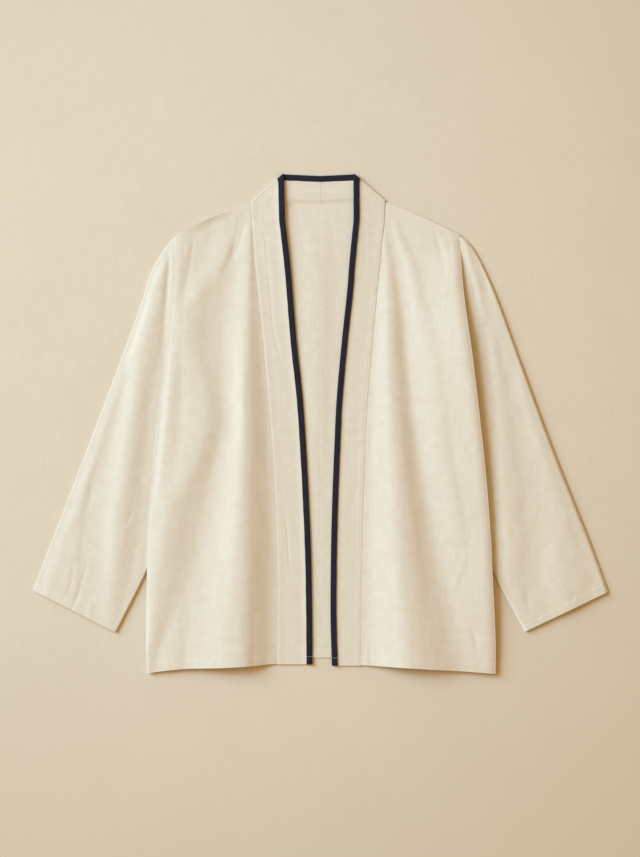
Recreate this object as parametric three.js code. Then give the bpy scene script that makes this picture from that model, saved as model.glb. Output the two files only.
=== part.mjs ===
import * as THREE from 'three';

// A kimono shirt laid out flat: an open-fronted shirt of cream cotton-linen, with long sleeves and
// a straight neckband whose free edge is bound in navy. All sizes are in millimetres.
//
// Frame: the shirt lies on the plane z = 0 with its front upwards. +Z is up from that surface, +Y
// runs from the hem to the neck, and +X runs to the wearer's left. The origin is the middle of the
// laid-out outline. "right" and "left" are the wearer's, so the right side is at negative x.
//
// Layers, from the surface up: sleeves (each a flattened tube, swung down so that its inner part is
// tucked under the body), back, fronts, neckband with its binding.

// ---------- Driving dimensions ----------

const CLOTH = 1.4;              // wall of a single layer of cloth
const SEAM_GAP = 0.3;           // clearance between sewn or resting pieces
const FACET_STRAY = 0.25;       // how far a straight facet may stray from a curved seam
const BAND_THICKNESS = 2;       // the neckband is a folded strip, two layers with their turnings
const BINDING_WIDTH = 9;        // how much of the band the binding covers
const BINDING_WALL = 1;
const TUBE_HEIGHT = 3.6;        // a flattened sleeve at its folded edges
const SLEEVE_CROWN = 1.5;       // how much more it stands in the middle of what shows
const SLEEVE_FOLD = 2.6;        // reach of the rounded fold along each edge of a sleeve
const CROWN_REACH = 60;         // width of sleeve that must show for it to crown fully
const TUCK_INSET = 3;           // the turned-back layers begin this far inside the body's edge
const NARROWEST_STRIP = 12;     // least width of either part of a sleeve section, for even facets
const TUCK_HEIGHT = 2.8;        // the two turned-back layers over the tucked part of a sleeve
const TUCK_RUN = 90;            // distance from the shoulder over which the tuck builds up
const TUCK_SHELF = 14;          // the body stays level this far past the edge of a tucked sleeve
const TUCK_SLOPE = 30;          // and then comes down to the surface within this distance
const FRONT_SLACK = 0.5;        // mean clearance of a front over the back, beyond the seam gap
const LARGEST_LIFT = 3.5;       // highest that a fold of a front stands off the back
const PANEL_COLUMNS = 14;       // mesh columns across a front
const PANEL_ROWS = 20;          // mesh rows from hem to shoulder
const MIDDLE_COLUMNS = 6;       // mesh columns of the back between the two band seams
const BAND_ROWS = 14;           // sections of the band down a front

const CREAM = { color: 0xede3d0, roughness: 0.9, metalness: 0 };
const NAVY = { color: 0x20253a, roughness: 0.85, metalness: 0 };

// Side edges of the body, from shoulder point to hem: x of each edge at height y.
const SIDE_EDGE = [
  { y: 284, right: -214, left: 208 },
  { y: 200, right: -223, left: 214 },
  { y: 110, right: -230, left: 226 },
  { y: 20, right: -241, left: 237 },
  { y: -84, right: -251, left: 248 },
  { y: -174, right: -259, left: 255 },
  { y: -220, right: -260, left: 257 },
  { y: -324, right: -262, left: 262 },
  { y: -376, right: -260, left: 262 },
];

// Front edges, from neck to hem: x of the band seam and of the bound free edge at height y, and
// how high the underside of the band lies at each.
const FRONT_EDGE = {
  right: [
    { y: 306, seam: -101, free: -53, seamUnder: 2.8, freeUnder: 6.4 },
    { y: 246, seam: -97, free: -46, seamUnder: 2.5, freeUnder: 5.2 },
    { y: 201, seam: -92, free: -42, seamUnder: 2.3, freeUnder: 4.4 },
    { y: 126, seam: -84, free: -36, seamUnder: 2.2, freeUnder: 3.6 },
    { y: 36, seam: -76, free: -26.5, seamUnder: 2.2, freeUnder: 3.3 },
    { y: -38, seam: -70, free: -21.5, seamUnder: 2.2, freeUnder: 3.3 },
    { y: -114, seam: -66, free: -17.5, seamUnder: 2.2, freeUnder: 3.3 },
    { y: -200, seam: -63, free: -14, seamUnder: 2.2, freeUnder: 3.3 },
    { y: -290, seam: -62.5, free: -12.5, seamUnder: 2.2, freeUnder: 3.3 },
    { y: -360, seam: -63, free: -12, seamUnder: 2.2, freeUnder: 3.3 },
  ],
  left: [
    { y: 306, seam: 94, free: 49.5, seamUnder: 2.8, freeUnder: 6.4 },
    { y: 246, seam: 88, free: 43.5, seamUnder: 2.5, freeUnder: 5.2 },
    { y: 201, seam: 83.5, free: 40, seamUnder: 2.3, freeUnder: 4.4 },
    { y: 126, seam: 76.5, free: 32, seamUnder: 2.2, freeUnder: 3.6 },
    { y: 36, seam: 69, free: 24, seamUnder: 2.2, freeUnder: 3.3 },
    { y: -38, seam: 65, free: 20.5, seamUnder: 2.2, freeUnder: 3.3 },
    { y: -114, seam: 62.5, free: 17.5, seamUnder: 2.2, freeUnder: 3.3 },
    { y: -200, seam: 60.5, free: 15.5, seamUnder: 2.2, freeUnder: 3.3 },
    { y: -290, seam: 59, free: 15, seamUnder: 2.2, freeUnder: 3.3 },
    { y: -362, seam: 58, free: 17, seamUnder: 2.2, freeUnder: 3.3 },
  ],
};

// The band folds over on a mitre at each side of the neck. Its outline runs from the neck point,
// where the band seam meets the shoulder, to the corner of the bound edge.
const MITRE = {
  right: { neckPoint: [-103.5, 333], corner: [-55.5, 375.4] },
  left: { neckPoint: [95.5, 337.5], corner: [50, 375.4] },
};
const MITRE_UNDER = { frontSeam: 3.2, frontFree: 7.3, backSeam: 0.2, backFree: 1.7 };
const BACK_NECK = { seamY: 330, freeY: 373.2 };   // the band at the centre back
const NECK_EDGE_DROP = 3.5;     // the back's neck corners lie this far below the mitre's neck points

// How far the shoulder line stands above the straight line from neck to shoulder point.
const SHOULDER_BOW = { right: 5, left: 1.5 };

// Hem of the fronts and of the back, from side edge (across = 0) to front edge or centre (1).
const HEM = [
  { across: 0, frontRight: -375.5, frontLeft: -375.5, back: -374 },
  { across: 0.25, frontRight: -368, frontLeft: -371, back: -366 },
  { across: 0.6, frontRight: -364, frontLeft: -365, back: -357 },
  { across: 1, frontRight: -359, frontLeft: -361, back: -351 },
];
const BACK_HEM_MIDDLE = -350;

// Sleeves: the outer edge runs round the sleeve head from the shoulder point and then straight to
// the cuff. The inner edge runs from the cuff to where it goes under the body, and on below it.
const SLEEVE = {
  right: {
    outer: [[-217, 281], [-227, 271], [-239, 254], [-256, 222], [-266, 187], [-431, -249]],
    inner: [[-168, -10], [-260, -218], [-307, -312]],
  },
  left: {
    outer: [[211, 282], [222, 274], [236, 256], [254, 221], [269, 187], [431, -251]],
    inner: [[165, -10], [257, -218], [306, -311]],
  },
};
const SLEEVE_SECTIONS = [0, 0.02, 0.05, 0.1, 0.17, 0.26, 0.36, 0.46, 0.56, 0.66, 0.77, 0.88, 1];
const TUCKED_COLUMNS = 3;       // mesh columns of a sleeve below the body
const SHOWN_COLUMNS = 6;        // and beside it

// Long folds of the fronts: x of the crest at three heights, its half width and how high it stands
// at the top and at the foot. It dies out above startY and below endY.
const FOLDS = {
  right: {
    besideBand: { startY: 300, endY: -480, x: [-109, -112, -127], width: [14, 46], rise: [1.2, 3] },
    overChest: { startY: 262, endY: -60, x: [-168, -186, -196], width: [14, 20], rise: [0.9, 0.5] },
    alongSide: { startY: 270, endY: -480, x: [-200, -226, -246], width: [14, 18], rise: [0.8, 0.9] },
  },
  left: {
    besideBand: { startY: 300, endY: -480, x: [86, 105, 137], width: [12, 44], rise: [1.2, 3] },
    overChest: { startY: 275, endY: -100, x: [120, 168, 196], width: [14, 22], rise: [1, 0.7] },
    alongSide: { startY: 265, endY: -480, x: [196, 226, 248], width: [12, 18], rise: [0.7, 0.9] },
  },
};
const FOLD_HEIGHTS = [300, 66, -360];             // the heights that a fold's three x values are for
const FOLD_FADE = 60;                             // length over which a fold dies out

// ---------- Curves and heights ----------

/** Fractions from 0 to 1 in a number of equal steps. */
const steps = (count) => Array.from({ length: count + 1 }, (_, i) => i / count);

/** Smooth step from 0 at low to 1 at high. */
function ease(low, high, value) {
  const t = THREE.MathUtils.clamp((value - low) / (high - low), 0, 1);
  return t * t * (3 - 2 * t);
}

/** One column of a table, read at a key value by a smooth curve through its rows. */
function readTable(table, key, name, value) {
  const rows = table[0][key] < table[1][key] ? table : [...table].reverse();
  const last = rows.length - 1;
  let i = 0;
  while (i < last - 1 && value > rows[i + 1][key]) i += 1;
  const slope = (a, b) => (rows[b][name] - rows[a][name]) / (rows[b][key] - rows[a][key]);
  const span = rows[i + 1][key] - rows[i][key];
  const t = THREE.MathUtils.clamp((value - rows[i][key]) / span, 0, 1);
  const startSlope = slope(Math.max(i - 1, 0), i + 1) * span;
  const endSlope = slope(i, Math.min(i + 2, last)) * span;
  const t2 = t * t;
  const t3 = t2 * t;
  return (2 * t3 - 3 * t2 + 1) * rows[i][name] + (t3 - 2 * t2 + t) * startSlope
    + (3 * t2 - 2 * t3) * rows[i + 1][name] + (t3 - t2) * endSlope;
}

/** Point at a fraction of the length of a line through points. */
function pointAlong(points, fraction) {
  const lengths = points.slice(1).map((p, i) => Math.hypot(p[0] - points[i][0], p[1] - points[i][1]));
  let left = fraction * lengths.reduce((sum, length) => sum + length, 0);
  let i = 0;
  while (i < lengths.length - 1 && left > lengths[i]) {
    left -= lengths[i];
    i += 1;
  }
  const t = left / lengths[i];
  return [
    points[i][0] + (points[i + 1][0] - points[i][0]) * t,
    points[i][1] + (points[i + 1][1] - points[i][1]) * t,
  ];
}

/** Distance of a point from the line through a and b, positive on the side of a third point. */
function distanceTowards(a, b, third, x, y) {
  const cross = (px, py) => (b[0] - a[0]) * (py - a[1]) - (b[1] - a[1]) * (px - a[0]);
  const sign = Math.sign(cross(third[0], third[1]));
  return (sign * cross(x, y)) / Math.hypot(b[0] - a[0], b[1] - a[1]);
}

/** Height of the top of a tucked sleeve, which grows from the shoulder down. */
function tuckTop(y) {
  return TUBE_HEIGHT + TUCK_HEIGHT * ease(0, TUCK_RUN, SIDE_EDGE[0].y - y);
}

/** Underside of the back at a point: on the surface, or over a tucked sleeve. */
function backUnder(x, y) {
  const { outer, inner } = SLEEVE[x < 0 ? 'right' : 'left'];
  const cuff = outer[outer.length - 1];
  const insideArmhole = distanceTowards(outer[0], inner[0], cuff, x, y);
  const insideUnderarm = distanceTowards(inner[0], inner[1], cuff, x, y);
  const inside = Math.min(insideArmhole, insideUnderarm);
  return (tuckTop(y) + SEAM_GAP + FACET_STRAY) * ease(-TUCK_SHELF - TUCK_SLOPE, -TUCK_SHELF, inside);
}

/** How far the folds of one front lift it off the back at a point. */
function foldLift(side, x, y) {
  const down = (FOLD_HEIGHTS[0] - THREE.MathUtils.clamp(y, FOLD_HEIGHTS[2], FOLD_HEIGHTS[0]))
    / (FOLD_HEIGHTS[0] - FOLD_HEIGHTS[2]);
  let lift = FRONT_SLACK;
  for (const fold of Object.values(FOLDS[side])) {
    const crest = fold.x.map((at, i) => ({ y: FOLD_HEIGHTS[i], at }));
    const away = x - readTable(crest, 'y', 'at', y);
    const halfWidth = THREE.MathUtils.lerp(fold.width[0], fold.width[1], down);
    if (Math.abs(away) >= halfWidth) continue;
    const above = ease(0, FOLD_FADE, fold.startY - y);
    const below = ease(0, FOLD_FADE, y - fold.endY);
    const rise = THREE.MathUtils.lerp(fold.rise[0], fold.rise[1], down) * above * below;
    lift += rise * 0.5 * (1 + Math.cos((Math.PI * away) / halfWidth));
  }
  return Math.min(lift, LARGEST_LIFT);
}

/** Underside of a front at a point. */
function frontUnder(side, x, y) {
  return backUnder(x, y) + CLOTH + SEAM_GAP + foldLift(side, x, y);
}

// ---------- Plan of the body panels ----------

/** Height of the shoulder line at a fraction from the side edge (0) to the neck point (1). */
function shoulderY(side, across) {
  const start = SIDE_EDGE[0].y;
  const end = MITRE[side].neckPoint[1] - NECK_EDGE_DROP;
  return THREE.MathUtils.lerp(start, end, across) + SHOULDER_BOW[side] * 4 * across * (1 - across);
}

/** Plan position of a body point: across from side edge to band seam, up from hem to shoulder. */
function bodyPoint(side, hemColumn, across, up) {
  const yAt = (u) => THREE.MathUtils.lerp(readTable(HEM, 'across', hemColumn, u), shoulderY(side, u), up);
  const edgeX = readTable(SIDE_EDGE, 'y', side, yAt(0));
  const seamX = seamLineX(side, yAt(1));
  return [THREE.MathUtils.lerp(edgeX, seamX, across), yAt(across)];
}

/** The line of the band seam, carried on to the neck point. */
function seamLineX(side, y) {
  const table = FRONT_EDGE[side];
  const [neckX, neckY] = MITRE[side].neckPoint;
  const clearance = Math.sign(neckX) * (SEAM_GAP + FACET_STRAY);
  if (y <= table[0].y) return readTable(table, 'y', 'seam', y) + clearance;
  const t = (y - table[0].y) / (neckY - table[0].y);
  return THREE.MathUtils.lerp(table[0].seam, neckX, t) + clearance;
}

// ---------- Solids ----------

/** A closed mesh from points and triangles, turned so that its faces point out. */
function closedGeometry(points, triangles) {
  let volume = 0;
  const a = new THREE.Vector3();
  for (const [i, j, k] of triangles) {
    volume += a.copy(points[j]).cross(points[k]).dot(points[i]);
  }
  const indices = volume > 0 ? triangles.flat() : triangles.flatMap(([i, j, k]) => [i, k, j]);
  const geometry = new THREE.BufferGeometry();
  geometry.setAttribute('position', new THREE.Float32BufferAttribute(points.flatMap((p) => p.toArray()), 3));
  geometry.setIndex(indices);
  geometry.computeVertexNormals();
  return geometry;
}

/** A wall of cloth between an upper and a lower grid of points, closed round its edges. */
function wallGeometry(upper, lower) {
  const rows = upper.length;
  const columns = upper[0].length;
  const points = [...upper.flat(), ...lower.flat()];
  const under = rows * columns;
  const at = (row, column) => row * columns + column;
  const triangles = [];
  for (let row = 0; row < rows - 1; row += 1) {
    for (let column = 0; column < columns - 1; column += 1) {
      const a = at(row, column);
      const b = at(row, column + 1);
      const c = at(row + 1, column + 1);
      const d = at(row + 1, column);
      triangles.push([a, b, c], [a, c, d]);
      triangles.push([under + a, under + c, under + b], [under + a, under + d, under + c]);
    }
  }
  const rim = [];
  for (let column = 0; column < columns; column += 1) rim.push(at(0, column));
  for (let row = 1; row < rows; row += 1) rim.push(at(row, columns - 1));
  for (let column = columns - 2; column >= 0; column -= 1) rim.push(at(rows - 1, column));
  for (let row = rows - 2; row > 0; row -= 1) rim.push(at(row, 0));
  rim.forEach((from, i) => {
    const to = rim[(i + 1) % rim.length];
    triangles.push([from, under + from, under + to], [from, under + to, to]);
  });
  return closedGeometry(points, triangles);
}

/** A copy of a grid of points, raised by a height. */
const raised = (grid, height) => grid.map((row) => row.map((p) => p.clone().setZ(p.z + height)));

/** A body through closed rings of points, capped at both ends by a list of triangles in a ring. */
function ringGeometry(rings, capTriangles) {
  const count = rings[0].length;
  const points = rings.flat();
  const triangles = [];
  for (let ring = 0; ring < rings.length - 1; ring += 1) {
    for (let i = 0; i < count; i += 1) {
      const next = (i + 1) % count;
      const a = ring * count + i;
      const b = ring * count + next;
      triangles.push([a, b, b + count], [a, b + count, a + count]);
    }
  }
  const end = (rings.length - 1) * count;
  for (const [i, j, k] of capTriangles) triangles.push([i, k, j], [end + i, end + j, end + k]);
  return closedGeometry(points, triangles);
}

/** A tube of cloth through rings of outer points, each with a ring of inner points, open at its ends. */
function tubeGeometry(outerRings, innerRings) {
  const count = outerRings[0].length;
  const points = [...outerRings.flat(), ...innerRings.flat()];
  const inner = outerRings.length * count;
  const last = (outerRings.length - 1) * count;
  const triangles = [];
  for (let i = 0; i < count; i += 1) {
    const next = (i + 1) % count;
    for (let ring = 0; ring < outerRings.length - 1; ring += 1) {
      const a = ring * count + i;
      const b = ring * count + next;
      const c = b + count;
      const d = a + count;
      triangles.push([a, b, c], [a, c, d]);
      triangles.push([inner + a, inner + c, inner + b], [inner + a, inner + d, inner + c]);
    }
    const from = last + i;
    const to = last + next;
    triangles.push([i, inner + next, next], [i, inner + i, inner + next]);
    triangles.push([from, to, inner + to], [from, inner + to, inner + from]);
  }
  return closedGeometry(points, triangles);
}


// ---------- Body ----------

/** One front: a panel from the side seam and armhole to the band seam, with its long folds. */
function frontGeometry(side) {
  const hem = side === 'right' ? 'frontRight' : 'frontLeft';
  const lower = steps(PANEL_ROWS).map((up) => {
    const row = steps(PANEL_COLUMNS).map((across) => bodyPoint(side, hem, across, up));
    if (side === 'left') row.reverse();
    return row.map(([x, y]) => new THREE.Vector3(x, y, frontUnder(side, x, y)));
  });
  return wallGeometry(raised(lower, CLOTH), lower);
}

/** The back: one panel from side to side, flat on the surface and carried over the tucked sleeves. */
function backGeometry() {
  const neckCorners = (shoulderY('right', 1) + shoulderY('left', 1)) / 2;
  const lower = steps(PANEL_ROWS).map((up) => {
    const row = [];
    for (const across of steps(PANEL_COLUMNS)) row.push(bodyPoint('right', 'back', across, up));
    const seamRight = row[row.length - 1];
    const seamLeft = bodyPoint('left', 'back', 1, up);
    for (const t of steps(MIDDLE_COLUMNS).slice(1, -1)) {
      const hemDrop = (BACK_HEM_MIDDLE - HEM[HEM.length - 1].back) * (1 - up) * Math.sin(Math.PI * t);
      const neckDip = (neckCorners - BACK_NECK.seamY + 2 * SEAM_GAP) * up * Math.sin(Math.PI * t);
      row.push([
        THREE.MathUtils.lerp(seamRight[0], seamLeft[0], t),
        THREE.MathUtils.lerp(seamRight[1], seamLeft[1], t) + hemDrop - neckDip,
      ]);
    }
    for (const across of steps(PANEL_COLUMNS).reverse()) row.push(bodyPoint('left', 'back', across, up));
    return row.map(([x, y]) => new THREE.Vector3(x, y, backUnder(x, y)));
  });
  return wallGeometry(raised(lower, CLOTH), lower);
}

// ---------- Sleeves ----------

/** Where a line across a sleeve passes below the side edge of the body, as a distance along it. */
function tuckedLength(side, inner, outer) {
  const length = Math.hypot(outer[0] - inner[0], outer[1] - inner[1]);
  const outward = side === 'right' ? -1 : 1;
  const beyond = (t) => {
    const x = THREE.MathUtils.lerp(inner[0], outer[0], t);
    const y = THREE.MathUtils.lerp(inner[1], outer[1], t);
    return outward * (x - readTable(SIDE_EDGE, 'y', side, y));
  };
  if (beyond(0) >= 0) return 0;
  let low = 0;
  let high = 1;
  for (let i = 0; i < 30; i += 1) {
    const middle = (low + high) / 2;
    if (beyond(middle) < 0) low = middle;
    else high = middle;
  }
  return low * length;
}

/** One sleeve: a flattened tube through sections that fan out from the armhole to the cuff. */
function sleeveGeometry(side) {
  const outerRings = [];
  const innerRings = [];
  for (const fraction of SLEEVE_SECTIONS) {
    const outer = pointAlong(SLEEVE[side].outer, fraction);
    const inner = pointAlong(SLEEVE[side].inner, fraction);
    const length = Math.hypot(outer[0] - inner[0], outer[1] - inner[1]);
    const tucked = tuckedLength(side, inner, outer);
    const border = THREE.MathUtils.clamp(tucked - TUCK_INSET, NARROWEST_STRIP, length - NARROWEST_STRIP);
    const hasTuck = tucked > NARROWEST_STRIP + TUCK_INSET;
    const shown = Math.min(1, (length - border) / CROWN_REACH);
    const stations = [
      ...steps(TUCKED_COLUMNS).map((t) => ({
        at: THREE.MathUtils.lerp(SLEEVE_FOLD, border, t),
        tucked: hasTuck,
        crown: 0,
      })),
      ...steps(SHOWN_COLUMNS).map((t) => ({
        at: THREE.MathUtils.lerp(border + TUCK_INSET, length - SLEEVE_FOLD, t),
        tucked: false,
        crown: SLEEVE_CROWN * shown * Math.sin(Math.PI * t),
      })),
    ];
    const place = (at, z) => {
      const t = at / length;
      const x = THREE.MathUtils.lerp(inner[0], outer[0], t);
      const y = THREE.MathUtils.lerp(inner[1], outer[1], t);
      return new THREE.Vector3(x, y, z);
    };
    const tubeTop = (s) => TUBE_HEIGHT + s.crown;
    const topOf = (s) => (s.tucked ? tuckTop(place(s.at, 0).y) : tubeTop(s));
    const backwards = [...stations].reverse();
    outerRings.push([
      place(0, TUBE_HEIGHT / 2),
      ...stations.map((s) => place(s.at, 0)),
      place(length, TUBE_HEIGHT / 2),
      ...backwards.map((s) => place(s.at, topOf(s))),
    ]);
    innerRings.push([
      place(CLOTH, TUBE_HEIGHT / 2),
      ...stations.map((s) => place(s.at, CLOTH)),
      place(length - CLOTH, TUBE_HEIGHT / 2),
      ...backwards.map((s) => place(s.at, tubeTop(s) - CLOTH)),
    ]);
  }
  return tubeGeometry(outerRings, innerRings);
}

// ---------- Neckband and binding ----------

/** A point of the band's middle surface, from a plan position and the height of its underside. */
const bandPoint = (x, y, under) => new THREE.Vector3(x, y, under + BAND_THICKNESS / 2);

/** Sections of one half of the neckband: from the hem, up the front, over the mitre, to centre back. */
function bandSections(side) {
  const table = FRONT_EDGE[side];
  const fronts = steps(BAND_ROWS).map((up) => {
    const y = THREE.MathUtils.lerp(table[table.length - 1].y, table[0].y, up);
    const read = (name) => readTable(table, 'y', name, y);
    return {
      seam: bandPoint(read('seam'), y, read('seamUnder')),
      free: bandPoint(read('free'), y, read('freeUnder')),
    };
  });
  const { neckPoint, corner } = MITRE[side];
  const along = new THREE.Vector2(corner[0] - neckPoint[0], corner[1] - neckPoint[1]).normalize();
  const outward = new THREE.Vector2(-along.y, along.x).multiplyScalar(side === 'right' ? 1 : -1);
  const turn = (point, frontUnderside, backUnderside, angle) => {
    const radius = (frontUnderside - backUnderside) / 2;
    const reach = radius * (Math.cos(angle) - 1) - BAND_THICKNESS / 2;
    const height = (frontUnderside + backUnderside) / 2 + radius * Math.sin(angle);
    return bandPoint(point[0] + outward.x * reach, point[1] + outward.y * reach, height);
  };
  const fold = [90, 55, 20, -20, -55, -90].map((degrees) => {
    const angle = THREE.MathUtils.degToRad(degrees);
    return {
      seam: turn(neckPoint, MITRE_UNDER.frontSeam, MITRE_UNDER.backSeam, angle),
      free: turn(corner, MITRE_UNDER.frontFree, MITRE_UNDER.backFree, angle),
      folding: true,
    };
  });
  const between = (a, b, t) => ({
    seam: a.seam.clone().lerp(b.seam, t),
    free: a.free.clone().lerp(b.free, t),
  });
  const neckFront = fronts[fronts.length - 1];
  const centreX = side === 'right' ? -SEAM_GAP / 2 : SEAM_GAP / 2;
  const centreBack = {
    seam: bandPoint(centreX, BACK_NECK.seamY, MITRE_UNDER.backSeam),
    free: bandPoint(centreX, BACK_NECK.freeY, MITRE_UNDER.backFree),
  };
  const foldEnd = fold[fold.length - 1];
  return [
    ...fronts,
    ...[1 / 3, 2 / 3].map((t) => between(neckFront, fold[0], t)),
    ...fold,
    ...[1 / 3, 2 / 3].map((t) => between(foldEnd, centreBack, t)),
    centreBack,
  ];
}

/** Adds to each section its direction across, its outward normal and how askew it is cut. */
function withFrames(sections, side) {
  const framed = sections.map((section, i) => {
    const before = sections[Math.max(i - 1, 0)];
    const after = sections[Math.min(i + 1, sections.length - 1)];
    const across = section.free.clone().sub(section.seam).normalize();
    const along = after.free.clone().sub(before.free).normalize();
    const normal = across.clone().cross(along).multiplyScalar(side === 'right' ? 1 : -1);
    const askew = 1 / normal.length();
    return { ...section, across, normal: normal.normalize(), askew };
  });
  const mitreAskew = 1 / Math.cos(Math.PI / 4);
  return framed.map((section) => (section.folding ? { ...section, askew: mitreAskew } : section));
}

/** One half of the neckband: a strip that goes into the binding's slot. */
function bandGeometry(side) {
  const inset = BINDING_WALL + 2 * SEAM_GAP;
  const grid = (offset) => withFrames(bandSections(side), side).map((s) => {
    const edge = s.free.clone().addScaledVector(s.across, -inset * s.askew);
    return [0, 1 / 3, 2 / 3, 1].map((t) => s.seam.clone().lerp(edge, t).addScaledVector(s.normal, offset));
  });
  return wallGeometry(grid(BAND_THICKNESS / 2), grid(-BAND_THICKNESS / 2));
}

/** The binding: one strip folded round the free edge of the band, from hem to hem. */
function bindingGeometry() {
  const slot = BAND_THICKNESS / 2 + SEAM_GAP;
  const half = slot + BINDING_WALL;
  const wall = BINDING_WALL;
  const profile = [
    { back: BINDING_WIDTH, out: half },
    { back: wall, out: half },
    { back: 0, out: half - wall },
    { back: 0, out: wall - half },
    { back: wall, out: -half },
    { back: BINDING_WIDTH, out: -half },
    { back: BINDING_WIDTH, out: -slot },
    { back: wall + SEAM_GAP, out: -slot },
    { back: wall + SEAM_GAP, out: slot },
    { back: BINDING_WIDTH, out: slot },
  ];
  const capTriangles = [
    [0, 1, 9], [1, 8, 9], [1, 2, 8], [2, 3, 8],
    [3, 7, 8], [3, 4, 7], [4, 5, 7], [5, 6, 7],
  ];
  const ring = (s) => profile.map(({ back, out }) => s.free.clone()
    .addScaledVector(s.across, -back * s.askew)
    .addScaledVector(s.normal, out));
  const rightHalf = withFrames(bandSections('right'), 'right');
  const leftHalf = withFrames(bandSections('left'), 'left').slice(0, -1).reverse();
  return ringGeometry([...rightHalf, ...leftHalf].map(ring), capTriangles);
}

// ---------- The shirt ----------

const shirt = new THREE.Group();
shirt.name = 'kimono_shirt';

function addPiece(name, geometry, finish) {
  const piece = new THREE.Mesh(geometry, new THREE.MeshStandardMaterial(finish));
  piece.name = name;
  shirt.add(piece);
}

addPiece('back', backGeometry(), CREAM);
for (const side of ['right', 'left']) {
  addPiece(`front_${side}`, frontGeometry(side), CREAM);
  addPiece(`sleeve_${side}`, sleeveGeometry(side), CREAM);
  addPiece(`neckband_${side}`, bandGeometry(side), CREAM);
}
addPiece('neck_binding', bindingGeometry(), NAVY);

export default shirt;
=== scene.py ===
"""A kimono shirt laid out flat, face up, on a pale floor.

The shirt is cream cotton-linen: a back, two fronts, two sleeves swung down and tucked under the
body, and a straight neckband in two halves, whose free edge is bound in navy. Sizes and tables are
in millimetres and meshes are made in metres. +Z is up from the floor, +Y runs from the hem to the
neck and +X towards the wearer's left, so the wearer's right side is at negative x.
"""

from __future__ import annotations

import logging
import math
from dataclasses import dataclass, field
from enum import Enum
from typing import Callable, Sequence

import bpy
import numpy as np
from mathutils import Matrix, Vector

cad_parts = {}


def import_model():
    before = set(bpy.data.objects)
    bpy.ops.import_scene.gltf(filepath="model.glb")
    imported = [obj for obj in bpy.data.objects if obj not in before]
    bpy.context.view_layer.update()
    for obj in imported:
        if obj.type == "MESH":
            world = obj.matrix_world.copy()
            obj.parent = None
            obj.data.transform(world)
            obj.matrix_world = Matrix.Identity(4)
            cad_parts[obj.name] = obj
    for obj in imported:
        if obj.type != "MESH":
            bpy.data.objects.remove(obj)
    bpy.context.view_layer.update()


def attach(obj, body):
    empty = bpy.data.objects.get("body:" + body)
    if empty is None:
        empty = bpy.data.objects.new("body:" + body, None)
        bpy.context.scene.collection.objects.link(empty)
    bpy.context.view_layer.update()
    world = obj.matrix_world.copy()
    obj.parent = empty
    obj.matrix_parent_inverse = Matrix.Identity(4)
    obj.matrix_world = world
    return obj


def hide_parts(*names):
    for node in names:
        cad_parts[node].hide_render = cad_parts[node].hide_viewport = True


LOG = logging.getLogger("kimono_shirt")

MM = 0.001              # one millimetre, in metres
BODY = "root"           # the one body that every piece lies on
CLOTH = 0.6             # one layer of the shirt's cloth
CLEARANCE = 0.15        # air allowed between two layers that lie on each other
THREAD_LIFT = 0.03      # how far stitches stand above a panel
HEM_THREAD = 0.0003     # width of a hem stitch, in metres
BAND_THREAD = 0.00034   # the same on the band
EDGE_THREAD = 0.00036   # the same on the binding

Array = np.ndarray
Rows = Sequence[Sequence[float]]


# ---------- Curves ----------

def ease(low: float, high: float, value: Array) -> Array:
    """Smooth step from 0 at low to 1 at high."""
    t = np.clip((np.asarray(value, dtype=float) - low) / (high - low), 0.0, 1.0)
    return t * t * (3.0 - 2.0 * t)


def roll(distance: Array, radius: float) -> Array:
    """How far a rounded edge has come up, 0 at the edge and 1 at its radius."""
    t = 1.0 - np.clip(np.asarray(distance, dtype=float) / radius, 0.0, 1.0)
    return 1.0 - t * t


def lerp(start: Array, end: Array, t: Array) -> Array:
    """Straight mix of two values."""
    return start + (end - start) * t


def bell(value: Array, centre: float, width: float) -> Array:
    """A soft bump that is 1 at its centre."""
    return np.exp(-((value - centre) / width) ** 2)


def travelled(points: Array) -> Array:
    """Distance along a line of points, from its first one."""
    return np.concatenate([[0], np.cumsum(np.linalg.norm(np.diff(points, axis=0), axis=1))])


@dataclass(frozen=True)
class Curve:
    """A smooth curve through rows, the first number of each being its place.

    Attributes:
        rows: Rows of (place, value, ...), in either order of place.
        column: Which number of a row is the value.
    """

    rows: Rows
    column: int = 1

    def at(self, place: Array) -> Array:
        """Reads the curve.

        Args:
            place: Where to read it; past either end it keeps its last value.

        Returns:
            The values there.
        """
        rows = sorted(self.rows, key=lambda row: row[0])
        places = np.array([row[0] for row in rows], dtype=float)
        values = np.array([row[self.column] for row in rows], dtype=float)
        place = np.asarray(place, dtype=float)
        last = len(places) - 1
        i = np.clip(np.searchsorted(places, place, side="right") - 1, 0, last - 1)
        before = np.maximum(i - 1, 0)
        after = np.minimum(i + 2, last)
        span = places[i + 1] - places[i]
        t = np.clip((place - places[i]) / span, 0.0, 1.0)
        start = (values[i + 1] - values[before]) / (places[i + 1] - places[before]) * span
        end = (values[after] - values[i]) / (places[after] - places[i]) * span
        t2, t3 = t * t, t * t * t
        return ((2 * t3 - 3 * t2 + 1) * values[i] + (t3 - 2 * t2 + t) * start
                + (3 * t2 - 2 * t3) * values[i + 1] + (t3 - t2) * end)


def descent(t: Array, steep: tuple[float, float]) -> Array:
    """How far a slope has come down along its way.

    Args:
        t: Place along it, 0 at its top and 1 at its foot.
        steep: Between which places it is at its steepest, soft before and after.

    Returns:
        0 at its top to 1 at its foot.
    """
    start, end = steep
    most = 2.0 / (1.0 + end - start)
    t = np.clip(t, 0.0, 1.0)
    above = most * t * t / (2 * start)
    beside = most * (t - start / 2)
    below = 1.0 - most * (1 - t) ** 2 / (2 * (1 - end))
    return np.where(t < start, above, np.where(t < end, beside, below))


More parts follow.
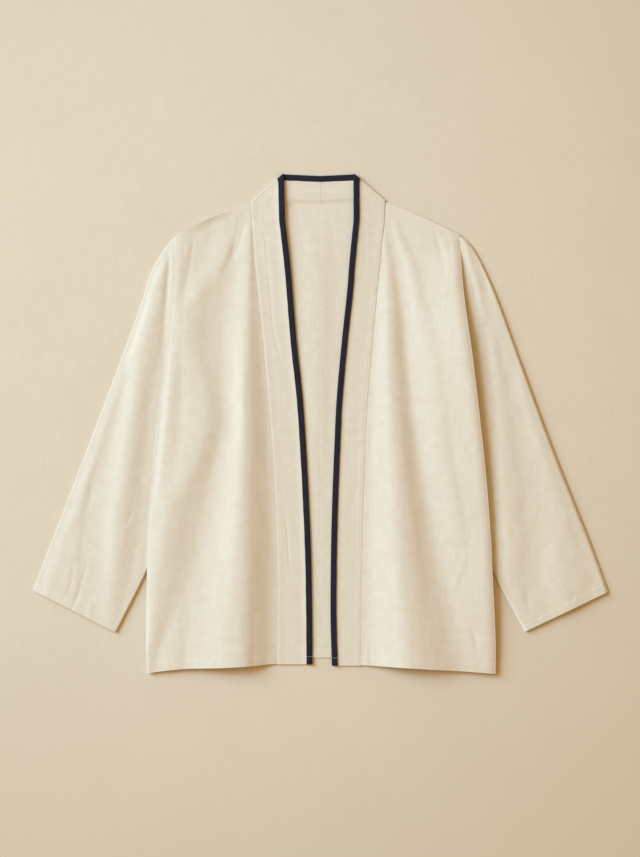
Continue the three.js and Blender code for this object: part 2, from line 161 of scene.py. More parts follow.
@dataclass(frozen=True)
class Fold:
    """A long soft ridge, or a trough where its rise is negative.

    Attributes:
        rows: Rows of (y, x of the crest, width towards -x, width towards +x, rise).
        low: Between which parts of its width the flank towards -x is steepest.
        high: The same of the flank towards +x.
    """

    rows: Rows
    low: tuple[float, float] = (0.25, 0.3)
    high: tuple[float, float] = (0.25, 0.3)

    def height(self, x: Array, y: Array) -> Array:
        """Works out the height of the fold.

        Args:
            x: Plan positions.
            y: Plan positions.

        Returns:
            Its heights there.
        """
        crest, low, high, rise = (Curve(self.rows, column).at(y) for column in (1, 2, 3, 4))
        away = x - crest
        below = descent(-away / np.maximum(low, 1.0), self.low)
        above = descent(away / np.maximum(high, 1.0), self.high)
        return rise * (1.0 - np.where(away < 0, below, above))


def fold_heights(folds: Sequence[Fold], x: Array, y: Array) -> Array:
    """Sum of the heights of several folds."""
    return sum((fold.height(x, y) for fold in folds), np.zeros_like(x, dtype=float))


def ripple(place: Array, lengths: Sequence[float], phases: Sequence[float]) -> Array:
    """An uneven wave between about -1 and 1, from waves of several lengths.

    Args:
        place: Distance along the wave.
        lengths: Wave lengths, in millimetres.
        phases: Phase of each wave, in radians.

    Returns:
        The height of the wave.
    """
    waves = [np.sin(2 * math.pi * place / length + phase + 0.9 * np.sin(place / (2.3 * length)))
             for length, phase in zip(lengths, phases)]
    return sum(waves) / len(waves)


class Side(Enum):
    """A side of the shirt, the wearer's."""

    RIGHT = "right"
    LEFT = "left"

    @property
    def sign(self) -> float:
        """Sign of x on this side."""
        return -1.0 if self is Side.RIGHT else 1.0

    @property
    def column(self) -> int:
        """Its column in rows of (place, right, left)."""
        return 1 if self is Side.RIGHT else 2


# ---------- Plan and lay of the shirt ----------

# Rows of (y, seam x, free x, underside at seam, underside at free edge) of each half neckband.
BAND_ROWS: dict[Side, Rows] = {
    Side.RIGHT: (
        (306, -101, -53, 2.0, 3.6), (246, -97, -46, 1.8, 2.9), (201, -92, -42, 1.7, 2.4),
        (126, -84, -36, 1.65, 2.0), (36, -76, -26.5, 1.65, 1.6), (-38, -70, -21.5, 1.65, 1.5),
        (-114, -66, -17.5, 1.65, 1.5), (-200, -63, -14, 1.65, 1.5), (-290, -62.5, -12.5, 1.65, 1.5),
        (-360, -63, -12, 1.65, 1.5)),
    Side.LEFT: (
        (306, 94, 49.5, 2.0, 3.6), (246, 88, 43.5, 1.8, 2.9), (201, 83.5, 40, 1.7, 2.4),
        (126, 76.5, 32, 1.65, 2.0), (36, 69, 24, 1.65, 1.6), (-38, 65, 20.5, 1.65, 1.5),
        (-114, 62.5, 17.5, 1.65, 1.5), (-200, 60.5, 15.5, 1.65, 1.5), (-290, 59, 15, 1.65, 1.5),
        (-362, 58, 17, 1.65, 1.5)),
}
# Plan points where the band seams meet the shoulders.
NECK_POINTS = {Side.RIGHT: (-103.5, 333), Side.LEFT: (95.5, 337.5)}


@dataclass(frozen=True)
class BodyPlan:
    """Outline of the body panels as they lie: that of the CAD solids, but for its hem corners.

    Attributes:
        side_edge: Rows of (y, x of the right edge, x of the left edge), shoulder point to hem.
        band_seam: For each side, rows of (y, x of the band seam, ...).
        hem: Rows of (across, right front, left front, back), across from side edge to band.
        neck_point: For each side, where the band seam meets the shoulder.
        shoulder_bow: How far each shoulder line stands above a straight line.
        back_neck: y of the back's neck edge at the centre.
        back_hem: y of the back's hem at the centre.
        neck_drop: How far the back's neck corners lie below the neck points.
    """

    side_edge: Rows = (
        (284, -214, 208), (200, -223, 214), (110, -230, 226), (20, -241, 237), (-84, -251, 248),
        (-174, -259, 255), (-220, -260, 257), (-324, -262, 262), (-376, -260, 262))
    band_seam: dict[Side, Rows] = field(default_factory=lambda: BAND_ROWS)
    hem: Rows = ((0, -373, -373.8, -371.5), (0.25, -367, -370, -365), (0.6, -364, -365, -357),
                 (1, -359, -361, -351))
    neck_point: dict[Side, tuple[float, float]] = field(default_factory=lambda: NECK_POINTS)
    shoulder_bow: dict[Side, float] = field(default_factory=lambda: {
        Side.RIGHT: 5.0, Side.LEFT: 1.5})
    back_neck: float = 330.0
    back_hem: float = -350.0
    neck_drop: float = 3.5

    def side_x(self, side: Side, y: Array) -> Array:
        """x of the side edge at height y."""
        return Curve(self.side_edge, side.column).at(y)

    def seam_x(self, side: Side, y: Array) -> Array:
        """Finds the band seam, carried on to the neck point.

        Args:
            side: Side of the shirt.
            y: Plan positions.

        Returns:
            x of the seam there.
        """
        rows = self.band_seam[side]
        neck_x, neck_y = self.neck_point[side]
        t = np.clip((np.asarray(y, dtype=float) - rows[0][0]) / (neck_y - rows[0][0]), 0.0, 1.0)
        return np.where(t > 0, lerp(rows[0][1], neck_x, t), Curve(rows).at(y))

    def shoulder_y(self, side: Side, across: Array) -> Array:
        """Finds the shoulder line.

        Args:
            side: Side of the shirt.
            across: From the side edge (0) to the neck point (1).

        Returns:
            y of the line there.
        """
        end = self.neck_point[side][1] - self.neck_drop
        bow = self.shoulder_bow[side] * 4 * across * (1 - across)
        return lerp(self.side_edge[0][0], end, across) + bow

    def point(self, side: Side, hem_column: int, across: Array, up: Array) -> tuple[Array, Array]:
        """Plan position of points of a body panel.

        Args:
            side: Side of the shirt.
            hem_column: Column of the hem rows that the panel follows.
            across: From side edge (0) to band seam (1).
            up: From hem (0) to shoulder (1).

        Returns:
            x and y of the points.
        """
        def y_at(u: Array) -> Array:
            """Plan position y at places across the panel."""
            return lerp(Curve(self.hem, hem_column).at(u), self.shoulder_y(side, u), up)

        edge = self.side_x(side, y_at(np.zeros_like(across)))
        seam = self.seam_x(side, y_at(np.ones_like(across)))
        return lerp(edge, seam, across), y_at(across)

    def across(self, side: Side, x: Array, y: Array) -> Array:
        """How far across a panel a plan position lies, 0 at the side edge and 1 at the band."""
        edge, seam = self.side_x(side, y), self.seam_x(side, y)
        return np.clip((x - edge) / (seam - edge), 0.0, 1.0)


@dataclass(frozen=True)
class SleevePlan:
    """Outline of one sleeve as it lies.

    Attributes:
        outer: Points (y, x) of the outer edge, from the shoulder point to the cuff.
        inner: Points (y, x) of the inner edge, from below the body to the cuff.
    """

    outer: Rows
    inner: Rows

    @staticmethod
    def _along(rows: Rows, fractions: Array) -> Array:
        """Finds plan points along a curve.

        Args:
            rows: Points (y, x) that the curve goes through.
            fractions: Fractions of its length.

        Returns:
            Points (x, y) there.
        """
        y = np.linspace(rows[0][0], rows[-1][0], 600)
        x = Curve(rows).at(y)
        length = np.concatenate([[0.0], np.cumsum(np.hypot(np.diff(x), np.diff(y)))])
        want = fractions * length[-1]
        return np.stack([np.interp(want, length, x), np.interp(want, length, y)], axis=-1)

    def outer_at(self, fractions: Array) -> Array:
        """Plan points of the outer edge at fractions of its length."""
        return self._along(self.outer, fractions)

    def inner_at(self, fractions: Array) -> Array:
        """Plan points of the inner edge at fractions of its length."""
        return self._along(self.inner, fractions)

    def inside(self, x: Array, y: Array) -> Array:
        """Measures how far inside the tucked part's two inner edges a place is.

        Args:
            x: Plan positions.
            y: Plan positions.

        Returns:
            Distances, negative outside the edges.
        """
        def towards(a: Sequence[float], b: Sequence[float]) -> Array:
            """Measures from a line, positive on the side of the cuff.

            Args:
                a: A point (y, x) of the line.
                b: Another point of it.

            Returns:
                Distances from the line.
            """
            (ay, ax), (by, bx) = a, b
            cuff_y, cuff_x = self.outer[-1]
            cross = (bx - ax) * (y - ay) - (by - ay) * (x - ax)
            sign = math.copysign(1, (bx - ax) * (cuff_y - ay) - (by - ay) * (cuff_x - ax))
            return sign * cross / math.hypot(bx - ax, by - ay)

        return np.minimum(towards(self.outer[0], self.inner[0]),
                          towards(self.inner[0], self.inner[1]))


SLEEVE_PLANS = {
    Side.RIGHT: SleevePlan(
        outer=((284, -209), (281, -217), (271, -227), (254, -239), (222, -256), (187, -266),
               (120, -290), (60, -312.5), (0, -335), (-60, -358), (-120, -381), (-249, -431)),
        inner=((-10, -168), (-218, -260), (-312, -307))),
    Side.LEFT: SleevePlan(
        outer=((285, 203), (282, 210), (274, 220), (256, 233.5), (221, 251), (187, 265.5),
               (120, 290), (60, 312), (0, 334), (-60, 357), (-120, 381), (-180, 405), (-251, 431)),
        inner=((-10, 165), (-218, 257), (-311, 306))),
}


@dataclass(frozen=True)
class FrontFolds:
    """Folds of one front, from the shoulder down, and how its side edge stands.

    Attributes:
        edge_top: Rows of (y, height of the cloth's top at the side edge).
        rim_rise: How much the cloth rises in from the side edge, past its rounded edge.
        rim_width: Width over which it rises.
        middle: Rows of (y, height of the cloth's top between its side and the band, how far
            across it has come down to that height).
        long_folds: The main folds and troughs.
        creases: Small creases, gathers and dents.
    """

    edge_top: Rows
    rim_rise: float
    rim_width: float
    middle: Rows
    long_folds: tuple[Fold, ...]
    creases: tuple[Fold, ...]


FRONT_FOLDS = {
    Side.RIGHT: FrontFolds(
        edge_top=((284, 4.2), (240, 4.6), (110, 4.9), (-60, 5.0), (-120, 5.4), (-180, 5.4),
                  (-235, 5.0), (-376, 4.2)),
        rim_rise=0.2, rim_width=15,
        middle=((284, 1.9, 0.45), (180, 1.9, 0.45), (120, 2.1, 0.45), (60, 3.2, 0.45),
                (0, 4.5, 0.45), (-60, 4.7, 0.4), (-120, 4.3, 0.32), (-180, 4.1, 0.3),
                (-240, 4.2, 0.28), (-300, 4.2, 0.25), (-376, 4.4, 0.25)),
        long_folds=(
            Fold(((305, -106, 10, 4, 0), (285, -107, 20, 6, 0.6), (240, -107, 24, 10, 1.3),
                  (180, -110, 34, 20, 2.3), (120, -111, 38, 27, 3.7), (60, -113, 33, 35, 4.3),
                  (0, -112, 32, 39, 4.3), (-60, -114, 44, 45, 4.9), (-120, -117, 54, 51, 5.9),
                  (-180, -119, 65, 55, 7.0), (-240, -119.5, 81, 56, 7.3), (-300, -123, 102, 60, 7.6),
                  (-376, -126, 112, 62, 8.8)), (0.25, 0.45), (0.35, 0.65)),
            Fold(((285, -140, 30, 14, 0), (262, -144, 36, 16, 0.9), (240, -152, 42, 22, 1.2),
                  (180, -190, 32, 46, 1.9), (120, -197, 32, 48, 2.3), (60, -180, 57, 34, 2.6),
                  (0, -176, 66, 32, 2.8), (-60, -192, 57, 34, 3.0), (-120, -220, 42, 50, 3.2),
                  (-180, -232, 33, 52, 3.0), (-240, -241, 26, 45, 2.0), (-300, -250, 17, 28, 1.5),
                  (-345, -258, 8, 14, 0.7), (-376, -262, 6, 12, 0.5)), (0.4, 0.6), (0.4, 0.75)),
            Fold(((262, -209, 5, 8, 0), (240, -211, 6, 12, 0.25), (180, -215, 10, 14, 0.5),
                  (120, -220, 10, 16, 0.6), (60, -224, 12, 19, 1.3), (0, -230, 13, 24, 1.4),
                  (-60, -236, 13, 25, 1.4), (-110, -243, 10, 22, 0.5), (-140, -246, 10, 18, 0)),
                 (0.3, 0.6), (0.4, 0.6)),
        ),
        creases=(
            Fold(((298, -187, 6, 7, 0), (283, -190, 6, 8, -0.3), (240, -196, 7, 10, -0.35),
                  (195, -203, 8, 8, 0))),
            Fold(((286, -205, 4, 4, 0), (274, -205, 4, 4, -0.3), (258, -206, 4, 4, 0))),
            Fold(((266, -218, 4, 4, 0), (252, -219, 4, 4, -0.4), (215, -221, 4, 4, -0.25),
                  (190, -222, 4, 4, 0))),
            Fold(((330, -114, 9, 10, 0), (312, -119, 10, 11, -0.6), (290, -121, 10, 12, -0.7),
                  (260, -129, 10, 12, -0.5), (235, -141, 10, 12, -0.3), (205, -151, 10, 12, 0)),
                 (0.4, 0.5), (0.4, 0.5)),
            Fold(((-250, -208, 16, 18, 0), (-285, -214, 18, 20, 0.6), (-320, -217, 26, 22, 0.9),
                  (-376, -224, 26, 24, 1.1)), (0.4, 0.6), (0.4, 0.6)),
            Fold(((-255, -101, 5, 6, 0), (-285, -101, 5, 6, -0.2), (-372, -100, 6, 6, -0.25))),
            Fold(((-325, -66, 3, 4, 0), (-340, -65.5, 3, 4, -0.35), (-372, -65, 3, 4, -0.4))),
        )),
    Side.LEFT: FrontFolds(
        edge_top=((284, 3.2), (262, 3.8), (240, 6.4), (180, 10.6), (120, 14.2), (60, 14.2),
                  (-60, 12.8), (-120, 11.8), (-180, 10.6), (-235, 10.4), (-290, 8.8), (-376, 5.4)),
        rim_rise=1.6, rim_width=13,
        middle=((284, 1.9, 0.85), (240, 1.9, 0.8), (120, 1.9, 0.72), (0, 1.9, 0.68),
                (-120, 1.9, 0.6), (-180, 1.9, 0.56), (-240, 1.9, 0.54), (-300, 2.2, 0.54),
                (-376, 2.6, 0.54)),
        long_folds=(
            Fold(((296, 92, 4, 7, 0), (270, 96, 6, 11, 0.5), (240, 100, 11, 13, 0.9),
                  (180, 102, 21, 23, 2.4), (120, 104, 27, 28, 3.3), (60, 106, 34, 33, 4.4),
                  (0, 110, 42, 36, 5.5), (-60, 114, 49, 41, 6.3), (-120, 118, 55, 50, 7.0),
                  (-180, 120, 59, 61, 8.2), (-240, 126, 65, 69, 9.2), (-300, 131, 71, 79, 9.7),
                  (-376, 137, 77, 88, 10.6)), (0.25, 0.65), (0.45, 0.65)),
            Fold(((310, 106, 8, 8, 0), (290, 115, 11, 10, 0.5), (265, 123, 15, 15, 0.9),
                  (240, 133, 20, 18, 1.2), (180, 146, 20, 20, 0.9), (120, 158, 25, 22, 0.7),
                  (60, 170, 32, 24, 0.7), (0, 176, 34, 22, 1.0), (-60, 186, 36, 20, 1.0),
                  (-120, 200, 38, 16, 0.9), (-180, 208, 34, 16, 0.4), (-240, 214, 30, 16, 0)),
                 (0.3, 0.5), (0.4, 0.6)),
            Fold(((270, 196, 22, 14, 0), (240, 198, 30, 14, 0.5), (180, 200, 34, 14, 0.5),
                  (120, 206, 32, 16, 0.3), (60, 212, 28, 16, 0)), (0.4, 0.6), (0.4, 0.6)),
        ),
        creases=(
            Fold(((298, 171, 7, 8, 0), (285, 173, 8, 9, -0.5), (262, 179, 9, 10, -0.5),
                  (240, 184, 9, 10, -0.2), (205, 192, 10, 10, 0))),
            Fold(((290, 189, 5, 5, 0), (276, 192, 6, 6, -0.5), (255, 195, 6, 6, 0))),
            Fold(((32, 201, 4, 5, 0), (12, 198, 4, 5, 0.15), (-26, 192, 4, 5, 0))),
            Fold(((-302, 226, 5, 6, 0), (-320, 231, 5, 6, -0.6), (-348, 238, 5, 6, 0))),
            Fold(((-150, 225, 6, 6, 0), (-165, 225, 6, 6, -0.3), (-182, 225, 6, 6, 0))),
            Fold(((-185, 214, 7, 7, 0), (-205, 215, 7, 7, 0.3), (-235, 203, 8, 8, 0.3),
                  (-265, 200, 8, 8, 0))),
            Fold(((-325, 68, 3, 4, 0), (-345, 69, 3, 4, 0.5), (-372, 69, 3, 4, 0.5))),
        )),
}


@dataclass(frozen=True)
class SleeveFolds:
    """Folds of one sleeve and how high it lies.

    Attributes:
        level: Height of its top away from its edges and the body.
        gutter: Height of its top right beside the body.
        gutter_reach: Distance from the body's edge at which it is back at its level.
        inner_top: Height of its top at its inner folded edge.
        outer_top: Height of its top at its outer folded edge.
        folds: Its folds, gathers and troughs.
    """

    level: float
    gutter: float
    gutter_reach: float
    inner_top: float
    outer_top: float
    folds: tuple[Fold, ...]


SLEEVE_FOLDS = {
    Side.RIGHT: SleeveFolds(
        level=3.5, gutter=3.3, gutter_reach=10, inner_top=5.2, outer_top=1.9,
        folds=(
            Fold(((262, -234, 9, 8, 0), (240, -240, 12, 12, 0.3), (210, -243, 17, 14, 0.6),
                  (180, -247, 24, 20, 0.9), (120, -262, 29, 30, 2.0), (60, -274, 25, 30, 2.2),
                  (0, -282, 29, 29, 2.2), (-60, -290, 33, 32, 2.6), (-120, -298, 33, 35, 2.6),
                  (-180, -306, 30, 37, 2.4), (-240, -309, 28, 27, 1.4), (-300, -318, 20, 14, 0.4)),
                 (0.3, 0.5), (0.35, 0.65)),
            Fold(((262, -228, 4, 4, 0), (246, -227, 6, 5, -1.0), (210, -229, 8, 5, -0.9),
                  (180, -231, 10, 4, -0.6), (120, -236, 10, 5, -0.35), (95, -240, 10, 5, 0)),
                 (0.3, 0.5), (0.3, 0.5)),
            Fold(((100, -288, 12, 12, 0), (60, -296, 14, 14, -0.5), (0, -314, 15, 18, -0.5),
                  (-60, -331, 15, 26, -0.6), (-120, -346, 15, 34, -0.7), (-180, -354, 15, 34, -0.6),
                  (-240, -357, 15, 34, -0.4), (-280, -366, 16, 30, 0)), (0.4, 0.6), (0.4, 0.6)),
            Fold(((-85, -344, 5, 5, 0), (-110, -345, 5, 6, -0.25), (-135, -348, 5, 5, 0))),
            Fold(((-125, -280, 5, 5, 0), (-140, -286, 5, 6, -0.35), (-155, -292, 5, 5, 0))),
            Fold(((-195, -367, 6, 7, 0), (-220, -372, 6, 9, -0.25), (-242, -375, 6, 9, -0.35),
                  (-265, -382, 6, 7, 0))),
            Fold(((-200, -348, 5, 6, 0), (-220, -353, 5, 7, -0.3), (-240, -359, 6, 7, -0.3),
                  (-262, -366, 5, 6, -0.4), (-285, -376, 5, 5, -0.1))),
            Fold(((-262, -344, 8, 8, 0), (-278, -345, 8, 8, 0.25), (-295, -346, 8, 8, 0))),
        )),
    Side.LEFT: SleeveFolds(
        level=4.2, gutter=3.5, gutter_reach=50, inner_top=3.6, outer_top=4.6,
        folds=(
            Fold(((150, 252, 10, 10, 0), (120, 258, 12, 13, 0.7), (90, 262, 13, 15, 0.9),
                  (60, 267, 15, 17, 0.8), (0, 272, 18, 21, 0.9), (-60, 276, 20, 30, 1.4),
                  (-120, 279, 22, 32, 1.6), (-180, 284, 24, 34, 1.6), (-240, 284, 20, 30, 0.9),
                  (-300, 300, 12, 24, 0.3)), (0.3, 0.5), (0.45, 0.7)),
            Fold(((95, 295, 12, 14, 0), (60, 306, 18, 18, 0.9), (0, 326, 28, 22, 1.2),
                  (-60, 348, 40, 26, 1.4), (-120, 362, 44, 26, 1.4), (-180, 360, 40, 44, 1.7),
                  (-240, 366, 42, 58, 2.1), (-285, 372, 30, 50, 1.0)), (0.35, 0.6), (0.4, 0.6)),
            Fold(((276, 214, 5, 6, 0), (262, 219, 6, 7, 0.3), (240, 222, 7, 8, 0.35),
                  (215, 224, 6, 7, 0.1), (195, 226, 5, 6, 0))),
            Fold(((278, 215, 6, 5, 0), (262, 220, 7, 6, 0.4), (240, 226, 8, 8, 0.6),
                  (210, 235, 9, 9, 0.8), (180, 241, 10, 10, 0.7), (145, 248, 10, 10, 0)),
                 (0.3, 0.5), (0.3, 0.5)),
            Fold(((262, 230, 5, 6, 0), (250, 234, 6, 7, -0.4), (220, 245, 7, 8, -0.5),
                  (190, 253, 7, 9, -0.3), (170, 258, 6, 8, 0))),
            Fold(((-228, 285, 4, 4, 0), (-242, 290, 5, 5, -0.3), (-258, 295, 4, 4, 0))),
            Fold(((-248, 308, 8, 8, 0), (-265, 310, 8, 8, -0.35), (-285, 313, 8, 8, 0))),
            Fold(((-240, 366, 12, 14, 0), (-264, 370, 12, 14, 0.3), (-285, 376, 12, 14, 0))),
        )),
}


@dataclass(frozen=True)
class Lay:
    """How high every layer lies, each worked out from its neighbour.

    In places the layers still run into each other, by up to one thickness of the cloth.

    Attributes:
        plan: Plan of the body.
        seam_top: Top of a front at its band seam.
        rest_top: Top of a front where it lies flat.
        round_edge: Reach of the rounded edges of the body.
        tuck_shelf: The back stays level this far past the edge of a tucked sleeve.
        tuck_slope: It comes down to the floor within this distance.
        fold_strength: How much higher the folds are than their tables say.
        band_reach: Distance from the band seam at which a front is at its middle height.
        below_shoulder: How far below the shoulder the folds begin, and reach their height.
        round_shoulder: Reach of the rounded shoulder.
        seam_lap: How far from the band seam a front begins to rise, and has risen.
        edge_shelf: Width of the back's raised side edges.
        band_floor: The back is on the floor at the band seam, and free to rise this far from it.
        tube: Least height of a flattened sleeve.
        sleeve_wave: Height of the slight waves of a sleeve.
        tuck_top: Height that limits a sleeve's top where it lies under the body.
        tuck_reach: How far in from the body's edge that limit begins, and is complete.
        back_ridge: The back's own soft ridge, down its middle.
    """

    plan: BodyPlan = BodyPlan()
    seam_top: float = 1.5
    rest_top: float = 1.8
    round_edge: float = 5.0
    tuck_shelf: float = 6.0
    tuck_slope: float = 40.0
    fold_strength: float = 1.22
    band_reach: float = 55.0
    below_shoulder: tuple[float, float] = (6.0, 34.0)
    round_shoulder: float = 14.0
    seam_lap: tuple[float, float] = (1.45, 2.8)
    edge_shelf: float = 26.0
    band_floor: float = 20.0
    tube: float = 1.6
    sleeve_wave: float = 0.14
    tuck_top: float = 6.0
    tuck_reach: tuple[float, float] = (2.0, 16.0)
    back_ridge: Fold = Fold(((330, -3, 30, 30, 0), (280, -3, 34, 30, 0.7), (150, -4, 34, 26, 1.0),
                             (0, -4, 24, 22, 0.7), (-90, -3, 18, 18, 0)), (0.45, 0.55),
                            (0.45, 0.55))

    def front_top(self, side: Side, x: Array, y: Array) -> Array:
        """Height of the top of a front.

        Args:
            side: Which front.
            x: Plan positions.
            y: Plan positions.

        Returns:
            Heights of its upper surface there.
        """
        folds = FRONT_FOLDS[side]
        inside = np.maximum(side.sign * (self.plan.side_x(side, y) - x), 0.0)
        to_seam = np.maximum(side.sign * (x - self.plan.seam_x(side, y)), 0.0)
        across = self.plan.across(side, x, y)
        below = np.maximum(self.plan.shoulder_y(side, across) - y, 0.0)
        edge_top = Curve(folds.edge_top).at(y)
        side_level = edge_top + 0.05 + folds.rim_rise * roll(inside, folds.rim_width)
        middle = lerp(self.rest_top, Curve(folds.middle, 1).at(y), ease(0, self.band_reach, to_seam))
        reach = Curve(folds.middle, 2).at(y)
        level = lerp(side_level, middle, descent(across / reach, (0.15, 0.85)))
        relief = fold_heights(folds.long_folds, x, y)
        relief = relief + fold_heights(folds.creases, x, y)
        relief = self.fold_strength * relief + self.unevenness(side, x, y, to_seam)
        shoulder_top = lerp(edge_top, self.seam_top + 0.1, ease(0.2, 1, across))
        top = level + relief * ease(*self.below_shoulder, below)
        top = shoulder_top + (top - shoulder_top) * roll(below, self.round_shoulder)
        top = edge_top + (top - edge_top) * roll(inside, self.round_edge)
        top = self.seam_top + (top - self.seam_top) * ease(*self.seam_lap, to_seam)
        return np.maximum(top, self.seam_top)

    @staticmethod
    def unevenness(side: Side, x: Array, y: Array, to_seam: Array) -> Array:
        """Slight waviness of a laid panel, and puckers along its band seam.

        Args:
            side: Which front.
            x: Plan positions.
            y: Plan positions.
            to_seam: Distances from the band seam.

        Returns:
            How much higher the cloth lies.
        """
        slant = 0.35 if side is Side.RIGHT else -0.3
        broad = ripple(x + slant * y, (61, 38, 97), (0.4, 2.1, 4.0))
        long = ripple(y + 0.4 * x, (143, 89, 210), (1.3, 0.2, 2.6))
        pucker = ripple(y, (13, 9.5, 21), (0.3, 1.9, 3.1)) * bell(to_seam, 5, 6)
        return 0.16 * broad * (0.6 + 0.4 * long) + 0.14 * pucker

    def back_under(self, x: Array, y: Array) -> Array:
        """Works out how the back lies on the floor and the tucked sleeves.

        Args:
            x: Plan positions.
            y: Plan positions.

        Returns:
            Heights of its underside there.
        """
        x, y = np.broadcast_arrays(np.asarray(x, dtype=float), np.asarray(y, dtype=float))
        under = np.zeros_like(x)
        for side in Side:
            here = (x < 0) if side is Side.RIGHT else (x >= 0)
            edge = Curve(FRONT_FOLDS[side].edge_top).at(y) - 2 * CLOTH - CLEARANCE
            inside_sleeve = SLEEVE_PLANS[side].inside(x, y)
            over_sleeve = ease(-self.tuck_shelf - self.tuck_slope, -self.tuck_shelf, inside_sleeve)
            inside = side.sign * (self.plan.side_x(side, y) - x)
            free_edge = 1 - ease(0, self.edge_shelf, inside)
            wanted = edge * np.maximum(over_sleeve, free_edge)
            room = self.front_top(side, x, y) - 2 * CLOTH - CLEARANCE
            to_seam = side.sign * (x - self.plan.seam_x(side, y))
            wanted = wanted * ease(0, self.band_floor, to_seam)
            under = np.where(here, np.clip(np.minimum(wanted, room), 0, None), under)
        return under + self.back_ridge.height(x, y)

    def sleeve_top(self, side: Side, x: Array, y: Array) -> Array:
        """Works out the top of a sleeve away from its own edges.

        Args:
            side: Which sleeve.
            x: Plan positions.
            y: Plan positions.

        Returns:
            Heights of its upper surface there.
        """
        folds = SLEEVE_FOLDS[side]
        outside = side.sign * (x - self.plan.side_x(side, y))
        low_body = ease(-225, -260, y)
        gutter = lerp(folds.gutter, folds.level, low_body)
        top = lerp(gutter, folds.level, ease(2, folds.gutter_reach, outside))
        wave = self.sleeve_wave * ripple(x - 0.4 * y, (47, 31, 83), (0.9, 2.7, 4.4))
        relief = self.fold_strength * fold_heights(folds.folds, x, y) + wave
        top = top + relief * ease(0, 4, outside)
        tucked = self.back_under(x, y) - CLEARANCE
        under_body = np.minimum(np.maximum(tucked, self.tube),
                                lerp(top, self.tuck_top, ease(*self.tuck_reach, -outside)))
        return np.maximum(np.where(outside < 0, under_body, top), self.tube)


# ---------- Meshes ----------

def link(name: str, data: bpy.types.ID) -> bpy.types.Object:
    """Puts a new object in the scene.

    Args:
        name: Its name.
        data: Its mesh, light or camera.

    Returns:
        The object.
    """
    made = bpy.data.objects.new(name, data)
    bpy.context.scene.collection.objects.link(made)
    return made


def new_object(name: str, points: Array, faces: list[list[int]], weave: Array) -> bpy.types.Object:
    """Makes an object from points, faces and the place of each point on the flat cloth.

    Args:
        name: Name of the piece.
        points: Points in millimetres, one row each.
        faces: Corners of each face.
        weave: Place of each point on the flat cloth, in millimetres.

    Returns:
        The object, smooth but for its sharp edges, with its weave map in metres.
    """
    mesh = bpy.data.meshes.new(name)
    mesh.from_pydata((points * MM).tolist(), [], faces)
    corners = np.empty(len(mesh.loops), dtype=np.int32)
    mesh.loops.foreach_get("vertex_index", corners)
    layer = mesh.uv_layers.new(name="weave")
    layer.data.foreach_set("uv", (weave[corners] * MM).astype(np.float32).ravel())
    mesh.shade_smooth()
    mesh.set_sharp_from_angle(angle=math.radians(50))
    return link(name, mesh)


def outward(points: Array, faces: Array) -> Array:
    """Turns all the faces of a closed mesh outwards, if they point inwards.

    Args:
        points: Points of the mesh, one row each.
        faces: Corners of its quads, one row each.

    Returns:
        The faces, pointing outwards.
    """
    a, b, c, d = (points[faces[:, i]] for i in range(4))
    volume = np.einsum("ij,ij->", a, np.cross(b, c)) + np.einsum("ij,ij->", a, np.cross(c, d))
    return faces if volume > 0 else faces[:, ::-1]


def shell_from_grids(name: str, upper: Array, lower: Array, weave: Array) -> bpy.types.Object:
    """Makes a closed sheet of cloth between an upper and a lower grid of points.

    Args:
        name: Name of the piece.
        upper: Grid of points, rows by columns by 3.
        lower: Grid of points below it.
        weave: Place of each grid point on the flat cloth, rows by columns by 2.

    Returns:
        The object.
    """
    rows, columns = upper.shape[:2]
    index = np.arange(rows * columns).reshape(rows, columns)
    under = rows * columns
    quads = np.stack([index[:-1, :-1], index[:-1, 1:], index[1:, 1:], index[1:, :-1]], axis=-1)
    quads = quads.reshape(-1, 4)
    rim = np.concatenate([index[0, :], index[1:, -1], index[-1, -2::-1], index[-2:0:-1, 0]])
    after = np.roll(rim, -1)
    wall = np.stack([after, rim, rim + under, after + under], axis=-1)
    faces = np.concatenate([quads, quads[:, ::-1] + under, wall])
    points = np.concatenate([upper.reshape(-1, 3), lower.reshape(-1, 3)])
    places = np.concatenate([weave.reshape(-1, 2)] * 2)
    return new_object(name, points, outward(points, faces).tolist(), places)


def ring_quads(rings: int, count: int, first: int = 0) -> Array:
    """Makes quads between rings of points that follow each other.

    Args:
        rings: Number of rings.
        count: Number of points in a ring.
        first: Index of the first point.

    Returns:
        Corners of the quads, one row each.
    """
    index = np.arange(rings * count).reshape(rings, count) + first
    following = np.roll(index, -1, axis=1)
    quads = np.stack([index[:-1], following[:-1], following[1:], index[1:]], axis=-1)
    return quads.reshape(-1, 4)


def spaced(length: float, step: float, fine: Sequence[float]) -> Array:
    """Places along a length: fine ones at its start, then even steps to its end."""
    rest = np.linspace(fine[-1], length, max(2, round((length - fine[-1]) / step)) + 1)
    return np.concatenate([np.array(fine, dtype=float), rest[1:]])


# ---------- Finishes ----------

